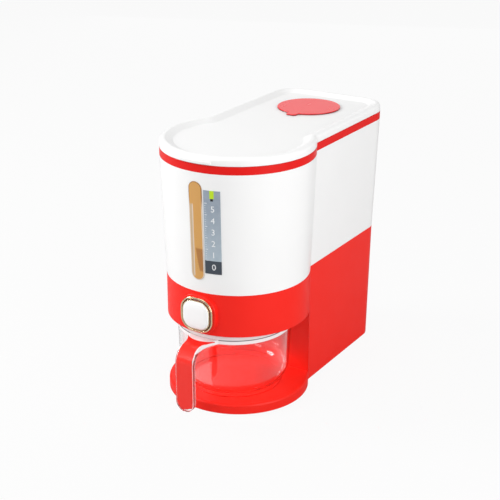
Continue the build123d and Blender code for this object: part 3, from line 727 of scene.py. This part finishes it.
class Bench:
    """Modelling moves on one piece, as they are made by hand in edit mode."""

    @staticmethod
    def clear() -> None:
        """Deselects everything."""
        bpy.ops.object.select_all(action="DESELECT")

    @staticmethod
    def pick(piece: Piece) -> None:
        """Selects one piece alone and makes it active.

        Args:
            piece: the piece.
        """
        Bench.clear()
        piece.select_set(True)
        bpy.context.view_layer.objects.active = piece

    @staticmethod
    @contextmanager
    def editing(piece: Piece) -> Iterator[None]:
        """Opens a piece in edit mode with everything selected, and closes it again.

        Args:
            piece: the piece.

        Yields:
            Nothing, while the piece is open.
        """
        Bench.pick(piece)
        bpy.ops.object.mode_set(mode="EDIT")
        bpy.ops.mesh.select_mode(type="VERT")
        bpy.ops.mesh.select_all(action="SELECT")
        yield
        bpy.ops.object.mode_set(mode="OBJECT")

    @staticmethod
    def faces(piece: Piece, wanted: Callable[[bpy.types.MeshPolygon], bool]) -> None:
        """Selects, in edit mode, the faces that pass a test.

        Args:
            piece: the piece.
            wanted: the test of a face.
        """
        bpy.ops.mesh.select_mode(type="FACE")
        bpy.ops.mesh.select_all(action="DESELECT")
        bpy.ops.object.mode_set(mode="OBJECT")
        for face in piece.data.polygons:
            face.select = wanted(face)
        bpy.ops.object.mode_set(mode="EDIT")

    @staticmethod
    def edges(piece: Piece, wanted: Callable[[Vector, Vector], bool]) -> None:
        """Selects, in edit mode, the edges whose two ends pass a test.

        Args:
            piece: the piece.
            wanted: the test of the two ends.
        """
        bpy.ops.mesh.select_mode(type="EDGE")
        bpy.ops.mesh.select_all(action="DESELECT")
        bpy.ops.object.mode_set(mode="OBJECT")
        points = piece.data.vertices
        for edge in piece.data.edges:
            first, second = (points[i].co for i in edge.vertices)
            edge.select = wanted(first, second)
        bpy.ops.object.mode_set(mode="EDIT")

    @staticmethod
    def pull(x: float, y: float, z: float) -> None:
        """Extrudes, in edit mode, what is selected by a step."""
        bpy.ops.mesh.extrude_region_move(TRANSFORM_OT_translate={"value": (x, y, z)})

    @staticmethod
    def settle(piece: Piece) -> None:
        """Puts a piece's place, turn and scale into its mesh."""
        Bench.pick(piece)
        bpy.ops.object.transform_apply(location=True, rotation=True, scale=True)

    @staticmethod
    def clean(piece: Piece) -> None:
        """Merges doubled points and turns the faces outwards.

        Args:
            piece: the piece.
        """
        with Bench.editing(piece):
            bpy.ops.mesh.remove_doubles(threshold=DOUBLED)
            bpy.ops.mesh.normals_make_consistent(inside=False)

    @staticmethod
    def modify(piece: Piece, kind: str, **settings: object) -> None:
        """Adds a modifier, sets it and applies it.

        Args:
            piece: the piece.
            kind: Blender's type name of the modifier.
            settings: attributes to set on it.
        """
        Bench.pick(piece)
        modifier = piece.modifiers.new(kind.lower(), kind)
        for key, value in settings.items():
            setattr(modifier, key, value)
        bpy.ops.object.modifier_apply(modifier=modifier.name)

    @staticmethod
    def lathe(name: str, profile: Sequence[tuple[float, float]], axis: Vector, steps: int) -> Piece:
        """Draws a half section point by point and spins it about an upright axis.

        Args:
            name: name of the new piece.
            profile: distance from the axis and height of each point.
            axis: a point on the axis.
            steps: number of divisions round the axis.

        Returns:
            The turned piece.
        """
        Bench.clear()
        out, height = profile[0]
        bpy.ops.mesh.primitive_plane_add(size=MM, location=(axis.x + out, axis.y, height))
        piece = bpy.context.object
        piece.name = name
        Bench.settle(piece)
        with Bench.editing(piece):
            bpy.ops.mesh.merge(type="CENTER")
            for (r0, z0), (r1, z1) in zip(profile, profile[1:]):
                step = {"value": (r1 - r0, 0.0, z1 - z0)}
                bpy.ops.mesh.extrude_vertices_move(TRANSFORM_OT_translate=step)
            bpy.ops.mesh.select_all(action="SELECT")
            bpy.ops.mesh.spin(steps=steps, angle=math.tau, center=axis, axis=(0.0, 0.0, 1.0))
        Bench.clean(piece)
        return piece

    @staticmethod
    def hand_over(
        piece: Piece, body: Body, slot: Slot, material: bpy.types.Material, crease: float
    ) -> None:
        """Smooths a finished piece, gives it its finish and puts it on its body.

        Args:
            piece: the piece.
            body: the body that it moves with.
            slot: the record's slot that its finish belongs to; not used.
            material: its material.
            crease: edges that turn by more than this many degrees stay sharp.
        """
        Bench.pick(piece)
        bpy.ops.object.shade_smooth_by_angle(angle=math.radians(crease))
        piece.data.materials.clear()
        piece.data.materials.append(material)
        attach(piece, body.value)
        LOG.info("built %s on %s", piece.name, body.value)


def dress(node: str, material: bpy.types.Material) -> None:
    """Gives a node of the model a finish.

    Args:
        node: name of the node.
        material: the material that it gets.
    """
    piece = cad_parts[node]
    piece.data.materials.clear()
    piece.data.materials.append(material)
    LOG.info("dressed %s in %s", node, material.name)


@dataclass(frozen=True)
class Nose:
    """The round front of the box: its upright axis and the cone of the hopper above the seam."""

    axis_y: float
    low: float
    high: float
    low_radius: float
    high_radius: float

    @classmethod
    def measured(cls) -> "Nose":
        """Reads the nose from the boxes of the lower housing and the hopper.

        Returns:
            The nose.
        """
        hopper_low, hopper_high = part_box("hopper_shell")
        base_low, base_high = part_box("base_body")
        high_radius = (hopper_high.x - hopper_low.x) / 2
        low_radius = (base_high.x - base_low.x) / 2
        return cls(hopper_low.y + high_radius, hopper_low.z, hopper_high.z, low_radius, high_radius)

    def radius(self, height: float) -> float:
        """Gives the outer radius of the hopper's nose at a height."""
        share = (height - self.low) / (self.high - self.low)
        return self.low_radius + share * (self.high_radius - self.low_radius)

    def lean(self) -> float:
        """Gives the angle by which the nose leans outwards, in radians."""
        return math.atan2(self.high_radius - self.low_radius, self.high - self.low)


RED = MouldedPlastic("satin_red_plastic", (0.93, 0.020, 0.011), (0.88, 0.015, 0.008), 0.38, 0.05, 0.22)
# A darker copy of the satin red: painted shade for the collar under the lid.
SHADOWED_COLLAR_RED = MouldedPlastic(
    "shadow_darkened_red_plastic", (0.78, 0.010, 0.008), (0.74, 0.008, 0.006), 0.38, 0.05, 0.2
)
# The cap's red, with painted shade on its edge below the top face.
CAP_RED = EdgedPlastic(
    "glossy_red_plastic", (0.95, 0.024, 0.030), (0.91, 0.020, 0.026), 0.26, 0.2, 0.45
)
INLAY_RED = MouldedPlastic(
    "polished_red_plastic", (0.94, 0.030, 0.020), (0.90, 0.024, 0.015), 0.24, 0.35, 0.4
)
WHITE = MouldedPlastic("satin_white_plastic", (0.92, 0.92, 0.918), (0.89, 0.89, 0.888), 0.34, 0.1, 0.35)
GLOSS_WHITE = MouldedPlastic(
    "glossy_white_plastic", (0.97, 0.97, 0.968), (0.95, 0.95, 0.95), 0.18, 0.5, 0.5
)
GREY = MouldedPlastic("plain_grey_plastic", (0.52, 0.52, 0.51), (0.47, 0.47, 0.46), 0.5, 0.0)
GOLD = PlatedTrim("bright_gold_plating", (1.0, 0.86, 0.60), (0.98, 0.78, 0.48), 0.1)
ZINC = PlatedTrim("zinc_plated_steel", (0.58, 0.58, 0.57), (0.50, 0.50, 0.50), 0.32)
RUBBER = SoftRubber("black_rubber", (0.020, 0.020, 0.021), (0.030, 0.029, 0.028))
SILICONE = SoftRubber("milky_silicone", (0.72, 0.72, 0.70), (0.66, 0.66, 0.65), 0.55)
INK_GRAIN = Grain(2400.0, 0.12, 0.03 * MM, 0.05 * MM)
INK = MouldedPlastic("white_print", (0.88, 0.89, 0.90), (0.84, 0.85, 0.86), 0.4, grain=INK_GRAIN)
GREY_NODES = (
    "bottom_plate", "hopper_floor", "outlet_chute", "gate_plate", "button_stem", "button_guide"
)
STEEL_NODES = ("bottom_screws", "chute_screws")


class Shells:
    """The fixed outer shells and the hidden works, as the model gives them."""

    def dress(self) -> None:
        """Gives every shell and hidden piece its finish."""
        grey, steel = GREY.material(), ZINC.material()
        dress("base_body", RED.material())
        # The collar gets the darker red copy, which is painted shade under the lid.
        dress("top_collar", SHADOWED_COLLAR_RED.material())
        dress("hopper_shell", WHITE.material())
        for node in GREY_NODES:
            dress(node, grey)
        for node in STEEL_NODES:
            dress(node, steel)
        dress("rubber_feet", RUBBER.material())


class LidSet:
    """The lid with its seal, the holder under it and the round cap."""

    def dress(self) -> None:
        """Gives the pieces of the lid their finishes."""
        white = WHITE.material()
        dress("lid", white)
        dress("desiccant_holder", white)
        dress("lid_seal", SILICONE.material())
        # The cap's edge below its top face is darkened as painted shade.
        cap_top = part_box("desiccant_cap")[1].z
        dress("desiccant_cap", replace(CAP_RED, face_height=cap_top).material())


@dataclass
class SightWindow:
    """The amber pane in the nose of the hopper.

    Its face is nudged forward by a hair so that the rim round it can be picked, and a tip is left flat
    at each round end so that the corners don't meet.
    """

    nose: Nose
    proud: float = 0.5 * MM
    corner_steps: int = 16
    flange: float = 4.0 * MM
    flange_depth: float = 1.5 * MM
    wall: float = 2.5 * MM
    edge: float = 1.2 * MM
    edge_share: float = 0.45
    edge_steps: int = 4
    nudge: float = 0.001 * MM
    tip: float = 0.02 * MM
    strips: int = 20
    strip_reach: float = 14.0 * MM
    crease: float = 35.0

    def build(self) -> Piece:
        """Models the pane flat, rounds its edge and wraps it round the nose.

        Returns:
            The pane.
        """
        low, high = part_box("window_pane")
        width = high.x - low.x - 2 * self.flange
        bottom, top = low.z + self.flange, high.z - self.flange
        middle = (bottom + top) / 2
        Bench.clear()
        bpy.ops.mesh.primitive_cube_add(size=1.0, location=(0.0, 0.0, 0.0))
        pane = bpy.context.object
        pane.name = "amber_window"
        pane.scale = (width, self.wall + self.proud, top - bottom)
        Bench.settle(pane)
        back = (self.wall + self.proud) / 2
        with Bench.editing(pane):
            Bench.edges(pane, lambda a, b: abs(a.y - b.y) > self.wall / 2)
            bpy.ops.mesh.bevel(offset=width / 2 - self.tip, segments=self.corner_steps, affect="EDGES")
            Bench.faces(pane, lambda face: face.normal.y > FACING)
            Bench.pull(0.0, 0.0, 0.0)
            grow = (width + 2 * self.flange) / width
            stretch = (top - bottom + 2 * self.flange) / (top - bottom)
            bpy.ops.transform.resize(value=(grow, 1.0, stretch), center_override=(0.0, back, 0.0))
            Bench.pull(0.0, self.flange_depth, 0.0)
            Bench.faces(pane, lambda face: face.normal.y < -FACING)
            bpy.ops.mesh.inset(thickness=self.edge)
            bpy.ops.transform.translate(value=(0.0, -self.nudge, 0.0))
        with Bench.editing(pane):
            Bench.edges(pane, lambda a, b: max(abs(a.y + back), abs(b.y + back)) < self.nudge / 2)
            bpy.ops.mesh.bevel(
                offset=self.edge_share * self.edge, segments=self.edge_steps, affect="EDGES"
            )
        self.slice_up(pane)
        self.wrap(pane, middle, back)
        return pane

    def slice_up(self, pane: Piece) -> None:
        """Cuts the pane into upright strips so that it can follow the curve.

        Args:
            pane: the flat pane.
        """
        with Bench.editing(pane):
            for i in range(1, self.strips):
                bpy.ops.mesh.select_all(action="SELECT")
                place = -self.strip_reach + 2 * self.strip_reach * i / self.strips
                bpy.ops.mesh.bisect(plane_co=(place, 0.0, 0.0), plane_no=(1.0, 0.0, 0.0))

    def wrap(self, pane: Piece, middle: float, back: float) -> None:
        """Curves the flat pane to the nose, leans it and puts it in place.

        Args:
            pane: the flat pane.
            middle: height of its middle.
            back: half its depth.
        """
        radius = self.nose.radius(middle)
        pane.location = (0.0, back - self.proud, 0.0)
        Bench.settle(pane)
        span = pane.dimensions.x
        Bench.modify(pane, "SIMPLE_DEFORM", deform_method="BEND", deform_axis="Z", angle=span / radius)
        pane.location = (0.0, self.nose.axis_y - radius, middle)
        pane.rotation_euler = (self.nose.lean(), 0.0, 0.0)
        Bench.settle(pane)

    def make(self) -> None:
        """Builds the pane, finishes it and lets it stand for the model's pane."""
        low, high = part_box("window_pane")
        pane = self.build()
        half_width = (high.x - low.x) / 2 - self.flange
        finish = AmberPane("amber_plastic_pane", low.z + self.flange, high.z - self.flange, half_width)
        Bench.clean(pane)
        Bench.hand_over(pane, Body.HOUSING, Slot.AMBER, finish.material(), self.crease)
        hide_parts("window_pane")


@dataclass
class ScaleLabel:
    """The printed scale beside the window: its film, and numerals laid on it."""

    nose: Nose
    turn: float = math.radians(13.1)
    block_height: float = 17.0 * MM
    film: float = 0.5 * MM
    ink: float = 0.06 * MM
    numeral_size: float = 10.8 * MM
    numeral_shift: float = 0.9 * MM
    crease: float = 40.0

    def make(self) -> None:
        """Dresses the film and lays the numerals on it."""
        low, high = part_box("label_plate")
        block_high = low.z + self.block_height
        radius = self.nose.radius((low.z + high.z) / 2)
        film = ScaleFilm(
            "printed_scale_film", self.nose.axis_y, self.turn, radius, low.z, high.z, block_high
        )
        dress("label_plate", film.material())
        numerals = [self.numeral(0, low.z + self.block_height / 2)]
        for level in range(1, film.levels + 1):
            numerals.append(self.numeral(level, block_high + (level - 0.5) * film.pitch()))
        Bench.clear()
        for numeral in numerals:
            numeral.select_set(True)
        bpy.context.view_layer.objects.active = numerals[0]
        bpy.ops.object.join()
        piece = bpy.context.object
        piece.name = "scale_numerals"
        Bench.clean(piece)
        Bench.hand_over(piece, Body.HOUSING, Slot.LABEL, INK.material(), self.crease)

    def numeral(self, level: int, height: float) -> Piece:
        """Makes one numeral lie on the film at a height.

        Args:
            level: the number.
            height: height of its centre in metres.

        Returns:
            The numeral as a mesh, in place.
        """
        Bench.clear()
        bpy.ops.object.text_add(location=(0.0, 0.0, 0.0))
        text = bpy.context.object
        text.data.body = str(level)
        text.data.align_x = "CENTER"
        text.data.align_y = "CENTER"
        text.data.size = self.numeral_size
        text.data.extrude = self.ink
        bpy.ops.object.convert(target="MESH")
        piece = bpy.context.object
        reach = self.nose.radius(height) + self.film + self.ink
        turn = self.turn + self.numeral_shift / reach
        piece.rotation_euler = (math.pi / 2 + self.nose.lean(), 0.0, turn)
        piece.location = (reach * math.sin(turn), self.nose.axis_y - reach * math.cos(turn), height)
        Bench.settle(piece)
        return piece


@dataclass
class PushButton:
    """The push button: a white pillow in a gold ring, and the gold bezel round it."""

    corner: float = 13.5 * MM
    corner_steps: int = 12
    dome: float = 1.2 * MM
    dome_reach: float = 11.0 * MM
    edge: float = 1.9 * MM
    edge_steps: int = 6
    touch: float = 0.01 * MM
    skin: float = 2.5 * MM
    trim: float = 1.0 * MM
    insets: tuple[float, ...] = (2.4 * MM, 1.4 * MM, 1.6 * MM, 1.8 * MM, 1.9 * MM, 1.9 * MM)
    crease: float = 50.0

    def make(self) -> None:
        """Models the pillow and dresses the metal round it."""
        gold = GOLD.material()
        dress("button_ring", gold)
        dress("button_bezel", gold)
        pillow = self.build()
        Bench.hand_over(pillow, Body.BUTTON, Slot.WHITE, GLOSS_WHITE.material(), self.crease)
        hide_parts("button_cap")

    def crown(self, reach: float) -> float:
        """Gives how far the crowned face rises at a distance in from its edge."""
        return self.dome * (1.0 - (1.0 - reach / self.dome_reach) ** 2)

    def build(self) -> Piece:
        """Models the cap: a crowned block with rounded corners, a shoulder and a hollow back.

        Returns:
            The pillow.
        """
        low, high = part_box("button_cap")
        _, ring_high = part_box("button_ring")
        width, height = high.x - low.x, high.z - low.z
        shoulder = ring_high.y
        centre = Vector(((low.x + high.x) / 2, (low.y + shoulder) / 2, (low.z + high.z) / 2))
        rim = low.y + self.dome
        Bench.clear()
        bpy.ops.mesh.primitive_cube_add(size=1.0, location=centre)
        pillow = bpy.context.object
        pillow.name = "button_pillow"
        face_width, face_height = width - 2 * self.trim, height - 2 * self.trim
        pillow.scale = (face_width, shoulder - low.y, face_height)
        Bench.settle(pillow)
        with Bench.editing(pillow):
            Bench.edges(pillow, lambda a, b: abs(a.y - b.y) > self.trim)
            bpy.ops.mesh.bevel(offset=self.corner, segments=self.corner_steps, affect="EDGES")
            Bench.faces(pillow, lambda face: face.normal.y < -FACING)
            bpy.ops.transform.translate(value=(0.0, self.dome, 0.0))
            reach = 0.0
            for inset in self.insets:
                before = self.crown(reach)
                reach += inset
                bpy.ops.mesh.inset(thickness=inset)
                bpy.ops.transform.translate(value=(0.0, before - self.crown(reach), 0.0))
            Bench.edges(pillow, lambda a, b: max(abs(a.y - rim), abs(b.y - rim)) < self.touch)
            bpy.ops.mesh.bevel(offset=self.edge, segments=self.edge_steps, affect="EDGES")
            Bench.faces(pillow, lambda face: face.normal.y > FACING)
            Bench.pull(0.0, 0.0, 0.0)
            grow = (width / face_width, 1.0, height / face_height)
            bpy.ops.transform.resize(value=grow, center_override=centre)
            Bench.pull(0.0, high.y - shoulder, 0.0)
            bpy.ops.mesh.inset(thickness=self.skin)
            Bench.pull(0.0, low.y + self.skin - high.y, 0.0)
        Bench.clean(pillow)
        return pillow


@dataclass
class ReturnSpring:
    """The coil behind the button, built at its rest length; it does not shorten as the button goes in.
    """

    wire: float = 1.2 * MM
    turns: int = 4
    travel: float = 8.0 * MM
    wire_sides: int = 12
    steps: int = 32
    crease: float = 60.0

    def build(self, low: Vector, high: Vector) -> Piece:
        """Winds the coil inside its box.

        Args:
            low: lowest corner of the box.
            high: highest corner of the box.

        Returns:
            The coil.
        """
        radius = (high.x - low.x - self.wire) / 2
        pitch = (high.y - low.y - self.wire) / self.turns
        Bench.clear()
        bpy.ops.mesh.primitive_circle_add(
            vertices=self.wire_sides, radius=self.wire / 2, location=(0.0, 0.0, 0.0)
        )
        coil = bpy.context.object
        coil.name = "steel_coil"
        with Bench.editing(coil):
            bpy.ops.transform.translate(value=(radius, 0.0, 0.0))
        Bench.modify(
            coil,
            "SCREW",
            axis="Y",
            screw_offset=pitch,
            iterations=self.turns,
            steps=self.steps,
            use_merge_vertices=False,
        )
        with Bench.editing(coil):
            bpy.ops.mesh.fill_holes(sides=0)
        coil.location = ((low.x + high.x) / 2, low.y + self.wire / 2, (low.z + high.z) / 2)
        Bench.settle(coil)
        Bench.clean(coil)
        return coil

    def make(self) -> None:
        """Builds the coil, finishes it and puts it on the housing in place of the model's spring."""
        low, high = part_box("return_spring")
        coil = self.build(low, high)
        Bench.hand_over(coil, Body.HOUSING, Slot.STEEL, ZINC.material(), self.crease)
        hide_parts("return_spring")
        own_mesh(coil)


@dataclass
class MeasuringCup:
    """The clear cup: a turned bowl with a thick rim, and a strap for a handle."""

    wall: float = 2.5 * MM
    corner: float = 25.0 * MM
    taper: float = 1.7 * MM
    rise: float = 0.6 * MM
    rim_height: float = 11.0 * MM
    rim_proud: float = 0.7 * MM
    rim_under: float = 0.3 * MM
    rim_over: float = 0.4 * MM
    lip: float = 0.6 * MM
    groove: float = 1.0 * MM
    groove_depth: float = 0.5 * MM
    steps: int = 128
    corner_steps: int = 14
    strap_width: float = 26.0 * MM
    strap_flare: float = 25.0 * MM
    strap_depth: float = 6.0 * MM
    bend: float = 21.0 * MM
    step_down: float = 5.0 * MM
    root_steps: int = 12
    bend_steps: int = 16
    end_steps: int = 12
    end_flat: float = 0.3 * MM
    strap_edge: float = 0.9 * MM
    strap_edge_steps: int = 3
    strap_edge_turn: float = math.radians(50)
    touch: float = 0.01 * MM
    crease: float = 40.0

    def arc(self, centre: tuple[float, float], radius: float) -> list[tuple[float, float]]:
        """Gives the quarter circle from the underside up to the wall.

        Args:
            centre: its centre, as distance from the axis and height.
            radius: its radius.

        Returns:
            Distance from the axis and height of each point.
        """
        turns = [math.pi / 2 * i / self.corner_steps for i in range(self.corner_steps + 1)]
        out, height = centre
        return [(out + radius * math.sin(turn), height - radius * math.cos(turn)) for turn in turns]

    def profile(self, low: float, high: float, radius: float) -> list[tuple[float, float]]:
        """Gives the half section of the bowl, out along its underside and back along its inside.

        Args:
            low: height of the underside.
            high: height of the rim.
            radius: outer radius of the rim's bead.

        Returns:
            Distance from the axis and height of each point.
        """
        outer = radius - self.rim_proud
        foot = outer - self.taper - self.corner
        inside = outer - self.wall
        centre = (foot, low + self.corner)
        bead = high - self.rim_height
        middle = (bead + high) / 2
        groove_low, groove_high = middle - self.groove / 2, middle + self.groove / 2
        groove_radius = radius - self.groove_depth
        points = [(0.0, low), *self.arc(centre, self.corner)]
        points += [(outer, bead - self.rim_under), (radius, bead + self.rim_over)]
        points += [(radius, groove_low), (groove_radius, groove_low)]
        points += [(groove_radius, groove_high), (radius, groove_high)]
        points += [(radius, high - self.lip), (radius - self.lip, high)]
        points += [(inside + self.lip, high), (inside, high - self.lip)]
        points += reversed(self.arc(centre, self.corner - self.wall))
        points.append((0.0, low + self.wall))
        return points

    def strap(self, low: Vector, high: Vector, axis: Vector, radius: float) -> Piece:
        """Models the handle: a flared root, a bend and a leg with a round end.

        Args:
            low: lowest corner of the cup's box.
            high: highest corner of the cup's box.
            axis: a point on the bowl's axis.
            radius: outer radius of the bowl.

        Returns:
            The handle's strap.
        """
        top = high.z - self.step_down
        front = low.y
        root = axis.y - math.sqrt(radius**2 - self.strap_flare**2) + self.wall
        bend_y = front + self.bend
        half = self.strap_width / 2
        Bench.clear()
        bpy.ops.mesh.primitive_plane_add(
            size=1.0, location=(0.0, root, top - self.strap_depth / 2), rotation=(math.pi / 2, 0.0, 0.0)
        )
        strap = bpy.context.object
        strap.name = "clear_strap"
        strap.scale = (2 * self.strap_flare, self.strap_depth, 1.0)
        Bench.settle(strap)
        rise = self.strap_flare - half
        run = root - bend_y
        sweep = (rise**2 + run**2) / (2 * rise)
        spot, width = root, self.strap_flare
        with Bench.editing(strap):
            for i in range(1, self.root_steps + 1):
                ahead = root - run * i / self.root_steps
                wide = half + sweep - math.sqrt(max(sweep**2 - (ahead - bend_y) ** 2, 0.0))
                narrow = (wide / width, 1.0, 1.0)
                Bench.pull(0.0, ahead - spot, 0.0)
                bpy.ops.transform.resize(value=narrow, center_override=(0.0, ahead, top))
                spot, width = ahead, wide
            centre = (0.0, bend_y, top - self.bend)
            bpy.ops.mesh.spin(
                steps=self.bend_steps, angle=-math.pi / 2, center=centre, axis=(1.0, 0.0, 0.0)
            )
            Bench.pull(0.0, 0.0, low.z - top + self.bend)
            bpy.ops.mesh.select_mode(type="FACE")
            bpy.ops.mesh.select_all(action="DESELECT")
            bpy.ops.mesh.select_interior_faces()
            bpy.ops.mesh.delete(type="FACE")
            foot, deep = low.z + self.touch, self.strap_depth / 2
            Bench.edges(strap, lambda a, b: max(a.z, b.z) < foot and abs(a.y - b.y) > deep)
            bpy.ops.mesh.bevel(offset=half - self.end_flat, segments=self.end_steps, affect="EDGES")
        Bench.clean(strap)
        return strap

    def trim(self, strap: Piece, axis: Vector, radius: float) -> None:
        """Cuts the root of the strap round, so that it ends in the wall of the bowl.

        Args:
            strap: the strap.
            axis: a point on the bowl's axis.
            radius: radius that the root is cut to.
        """
        Bench.clear()
        low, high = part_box("measuring_cup")
        depth = 2 * (high.z - low.z)
        place = (axis.x, axis.y, high.z)
        bpy.ops.mesh.primitive_cylinder_add(
            vertices=self.steps, radius=radius, depth=depth, location=place
        )
        cutter = bpy.context.object
        Bench.modify(strap, "BOOLEAN", operation="DIFFERENCE", solver="EXACT", object=cutter)
        bpy.data.objects.remove(cutter)

    def make(self) -> None:
        """Builds the cup, joins its strap to it and dresses the red inlay."""
        low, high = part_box("measuring_cup")
        radius = (high.x - low.x) / 2
        axis = Vector((0.0, high.y - radius, 0.0))
        profile = self.profile(low.z + self.rise, high.z, radius)
        cup = Bench.lathe("clear_cup", profile, axis, self.steps)
        strap = self.strap(low, high, axis, radius - self.rim_proud)
        Bench.modify(
            strap,
            "BEVEL",
            width=self.strap_edge,
            segments=self.strap_edge_steps,
            limit_method="ANGLE",
            angle_limit=self.strap_edge_turn,
        )
        self.trim(strap, axis, radius - self.rim_proud - self.wall / 2)
        Bench.modify(cup, "BOOLEAN", operation="UNION", solver="EXACT", object=strap)
        bpy.data.objects.remove(strap)
        Bench.clean(cup)
        bead = high.z - self.rim_height
        finish = ClearPlastic("polished_clear_plastic", bead, (bead + high.z) / 2, axis.y, radius)
        Bench.hand_over(cup, Body.CUP, Slot.CLEAR, finish.material(), self.crease)
        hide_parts("measuring_cup")
        dress("handle_inlay", INLAY_RED.material())


@dataclass(frozen=True)
class Softbox:
    """A square lamp that faces the object: its place and side in metres, its power in watts."""

    name: str
    place: tuple[float, float, float]
    side: float
    power: float


SOFTBOXES = (
    Softbox("left_softbox", (-1.6, -0.75, 1.1), 0.7, 28.0),
    Softbox("front_softbox", (-0.6, -1.9, 1.1), 1.0, 9.0),
    Softbox("right_softbox", (1.55, -0.4, 0.7), 1.3, 19.5),
    Softbox("top_softbox", (0.0, 0.3, 1.9), 1.4, 2.0),
    Softbox("back_softbox", (-0.8, 2.0, 0.9), 2.0, 7.0),
)


@dataclass
class Studio:
    """Plain pale floor, soft light and the camera at the photograph's view."""

    camera_place: tuple[float, float, float] = (0.7578, -1.2722, 0.7400)
    camera_target: tuple[float, float, float] = (-0.01601, -0.01075, 0.1650)
    lens: float = 87.083
    room_light: float = 0.48
    mirror_light: float = 0.2
    sensor: float = 36.0
    floor_side: float = 24.0
    floor_colour: Colour = (0.4, 0.4, 0.4)
    floor_glow: float = 1.03
    glow_share: float = 0.9

    def make(self) -> None:
        """Sets up the floor, the world, the lamps and the camera."""
        self.floor()
        self.world()
        for softbox in SOFTBOXES:
            self.lamp(softbox)
        self.camera()

    def floor(self) -> None:
        """Lays the floor, white to the camera and through clear pieces, with a soft shadow."""
        Bench.clear()
        bpy.ops.mesh.primitive_plane_add(size=self.floor_side, location=(0.0, 0.0, 0.0))
        floor = bpy.context.object
        floor.name = "studio_floor"
        graph = Graph("pale_floor")
        paint = graph.add("ShaderNodeBsdfDiffuse")
        paint.inputs["Color"].default_value = (*self.floor_colour, 1.0)
        glow = graph.add("ShaderNodeEmission")
        glow.inputs["Strength"].default_value = self.floor_glow
        rays = graph.add("ShaderNodeLightPath").outputs
        seen = graph.maths("MAXIMUM", rays["Is Camera Ray"], rays["Is Transmission Ray"])
        graph.blend(graph.maths("MULTIPLY", seen, self.glow_share), paint, glow)
        floor.data.materials.append(graph.material)

    def world(self) -> None:
        """Fills the room with soft light, plain white to the camera and dim in reflections."""
        world = bpy.data.worlds.new("white_room")
        world.use_nodes = True
        nodes, links = world.node_tree.nodes, world.node_tree.links
        sky = nodes["Background"]
        sky.inputs["Color"].default_value = (1.0, 1.0, 1.0, 1.0)
        rays = nodes.new("ShaderNodeLightPath")
        level = nodes.new("ShaderNodeMapRange")
        level.inputs["To Min"].default_value = self.room_light
        level.inputs["To Max"].default_value = 1.0
        links.new(rays.outputs["Is Camera Ray"], level.inputs["Value"])
        dim = nodes.new("ShaderNodeMath")
        dim.operation = "MULTIPLY_ADD"
        dim.inputs[1].default_value = self.mirror_light - self.room_light
        links.new(rays.outputs["Is Glossy Ray"], dim.inputs[0])
        links.new(level.outputs[0], dim.inputs[2])
        links.new(dim.outputs[0], sky.inputs["Strength"])
        bpy.context.scene.world = world

    def lamp(self, softbox: Softbox) -> None:
        """Hangs a softbox that faces the object.

        Args:
            softbox: what to hang.
        """
        data = bpy.data.lights.new(softbox.name, "AREA")
        data.shape = "SQUARE"
        data.size = softbox.side
        data.energy = softbox.power
        lamp = bpy.data.objects.new(softbox.name, data)
        lamp.visible_camera = False
        self.hang(lamp, softbox.place)

    def hang(self, item: Piece, place: tuple[float, float, float]) -> None:
        """Puts a lamp or the camera at a place, facing the object.

        Args:
            item: the lamp or the camera.
            place: where it goes.
        """
        item.location = place
        aim = Vector(self.camera_target) - item.location
        item.rotation_euler = aim.to_track_quat("-Z", "Y").to_euler()
        bpy.context.scene.collection.objects.link(item)

    def camera(self) -> None:
        """Puts the camera where the photograph was taken from."""
        data = bpy.data.cameras.new("photo_camera")
        data.lens = self.lens
        data.sensor_width = self.sensor
        camera = bpy.data.objects.new("photo_camera", data)
        self.hang(camera, self.camera_place)
        bpy.context.scene.camera = camera
        bpy.context.scene.view_settings.view_transform = "Standard"


def main() -> None:
    """Builds and dresses every sub-assembly, then the studio."""
    logging.basicConfig(level=logging.INFO, format="%(message)s")
    nose = Nose.measured()
    Shells().dress()
    LidSet().dress()
    SightWindow(nose).make()
    ScaleLabel(nose).make()
    PushButton().make()
    ReturnSpring().make()
    MeasuringCup().make()
    Studio().make()


if __name__ == "__main__":
    main()
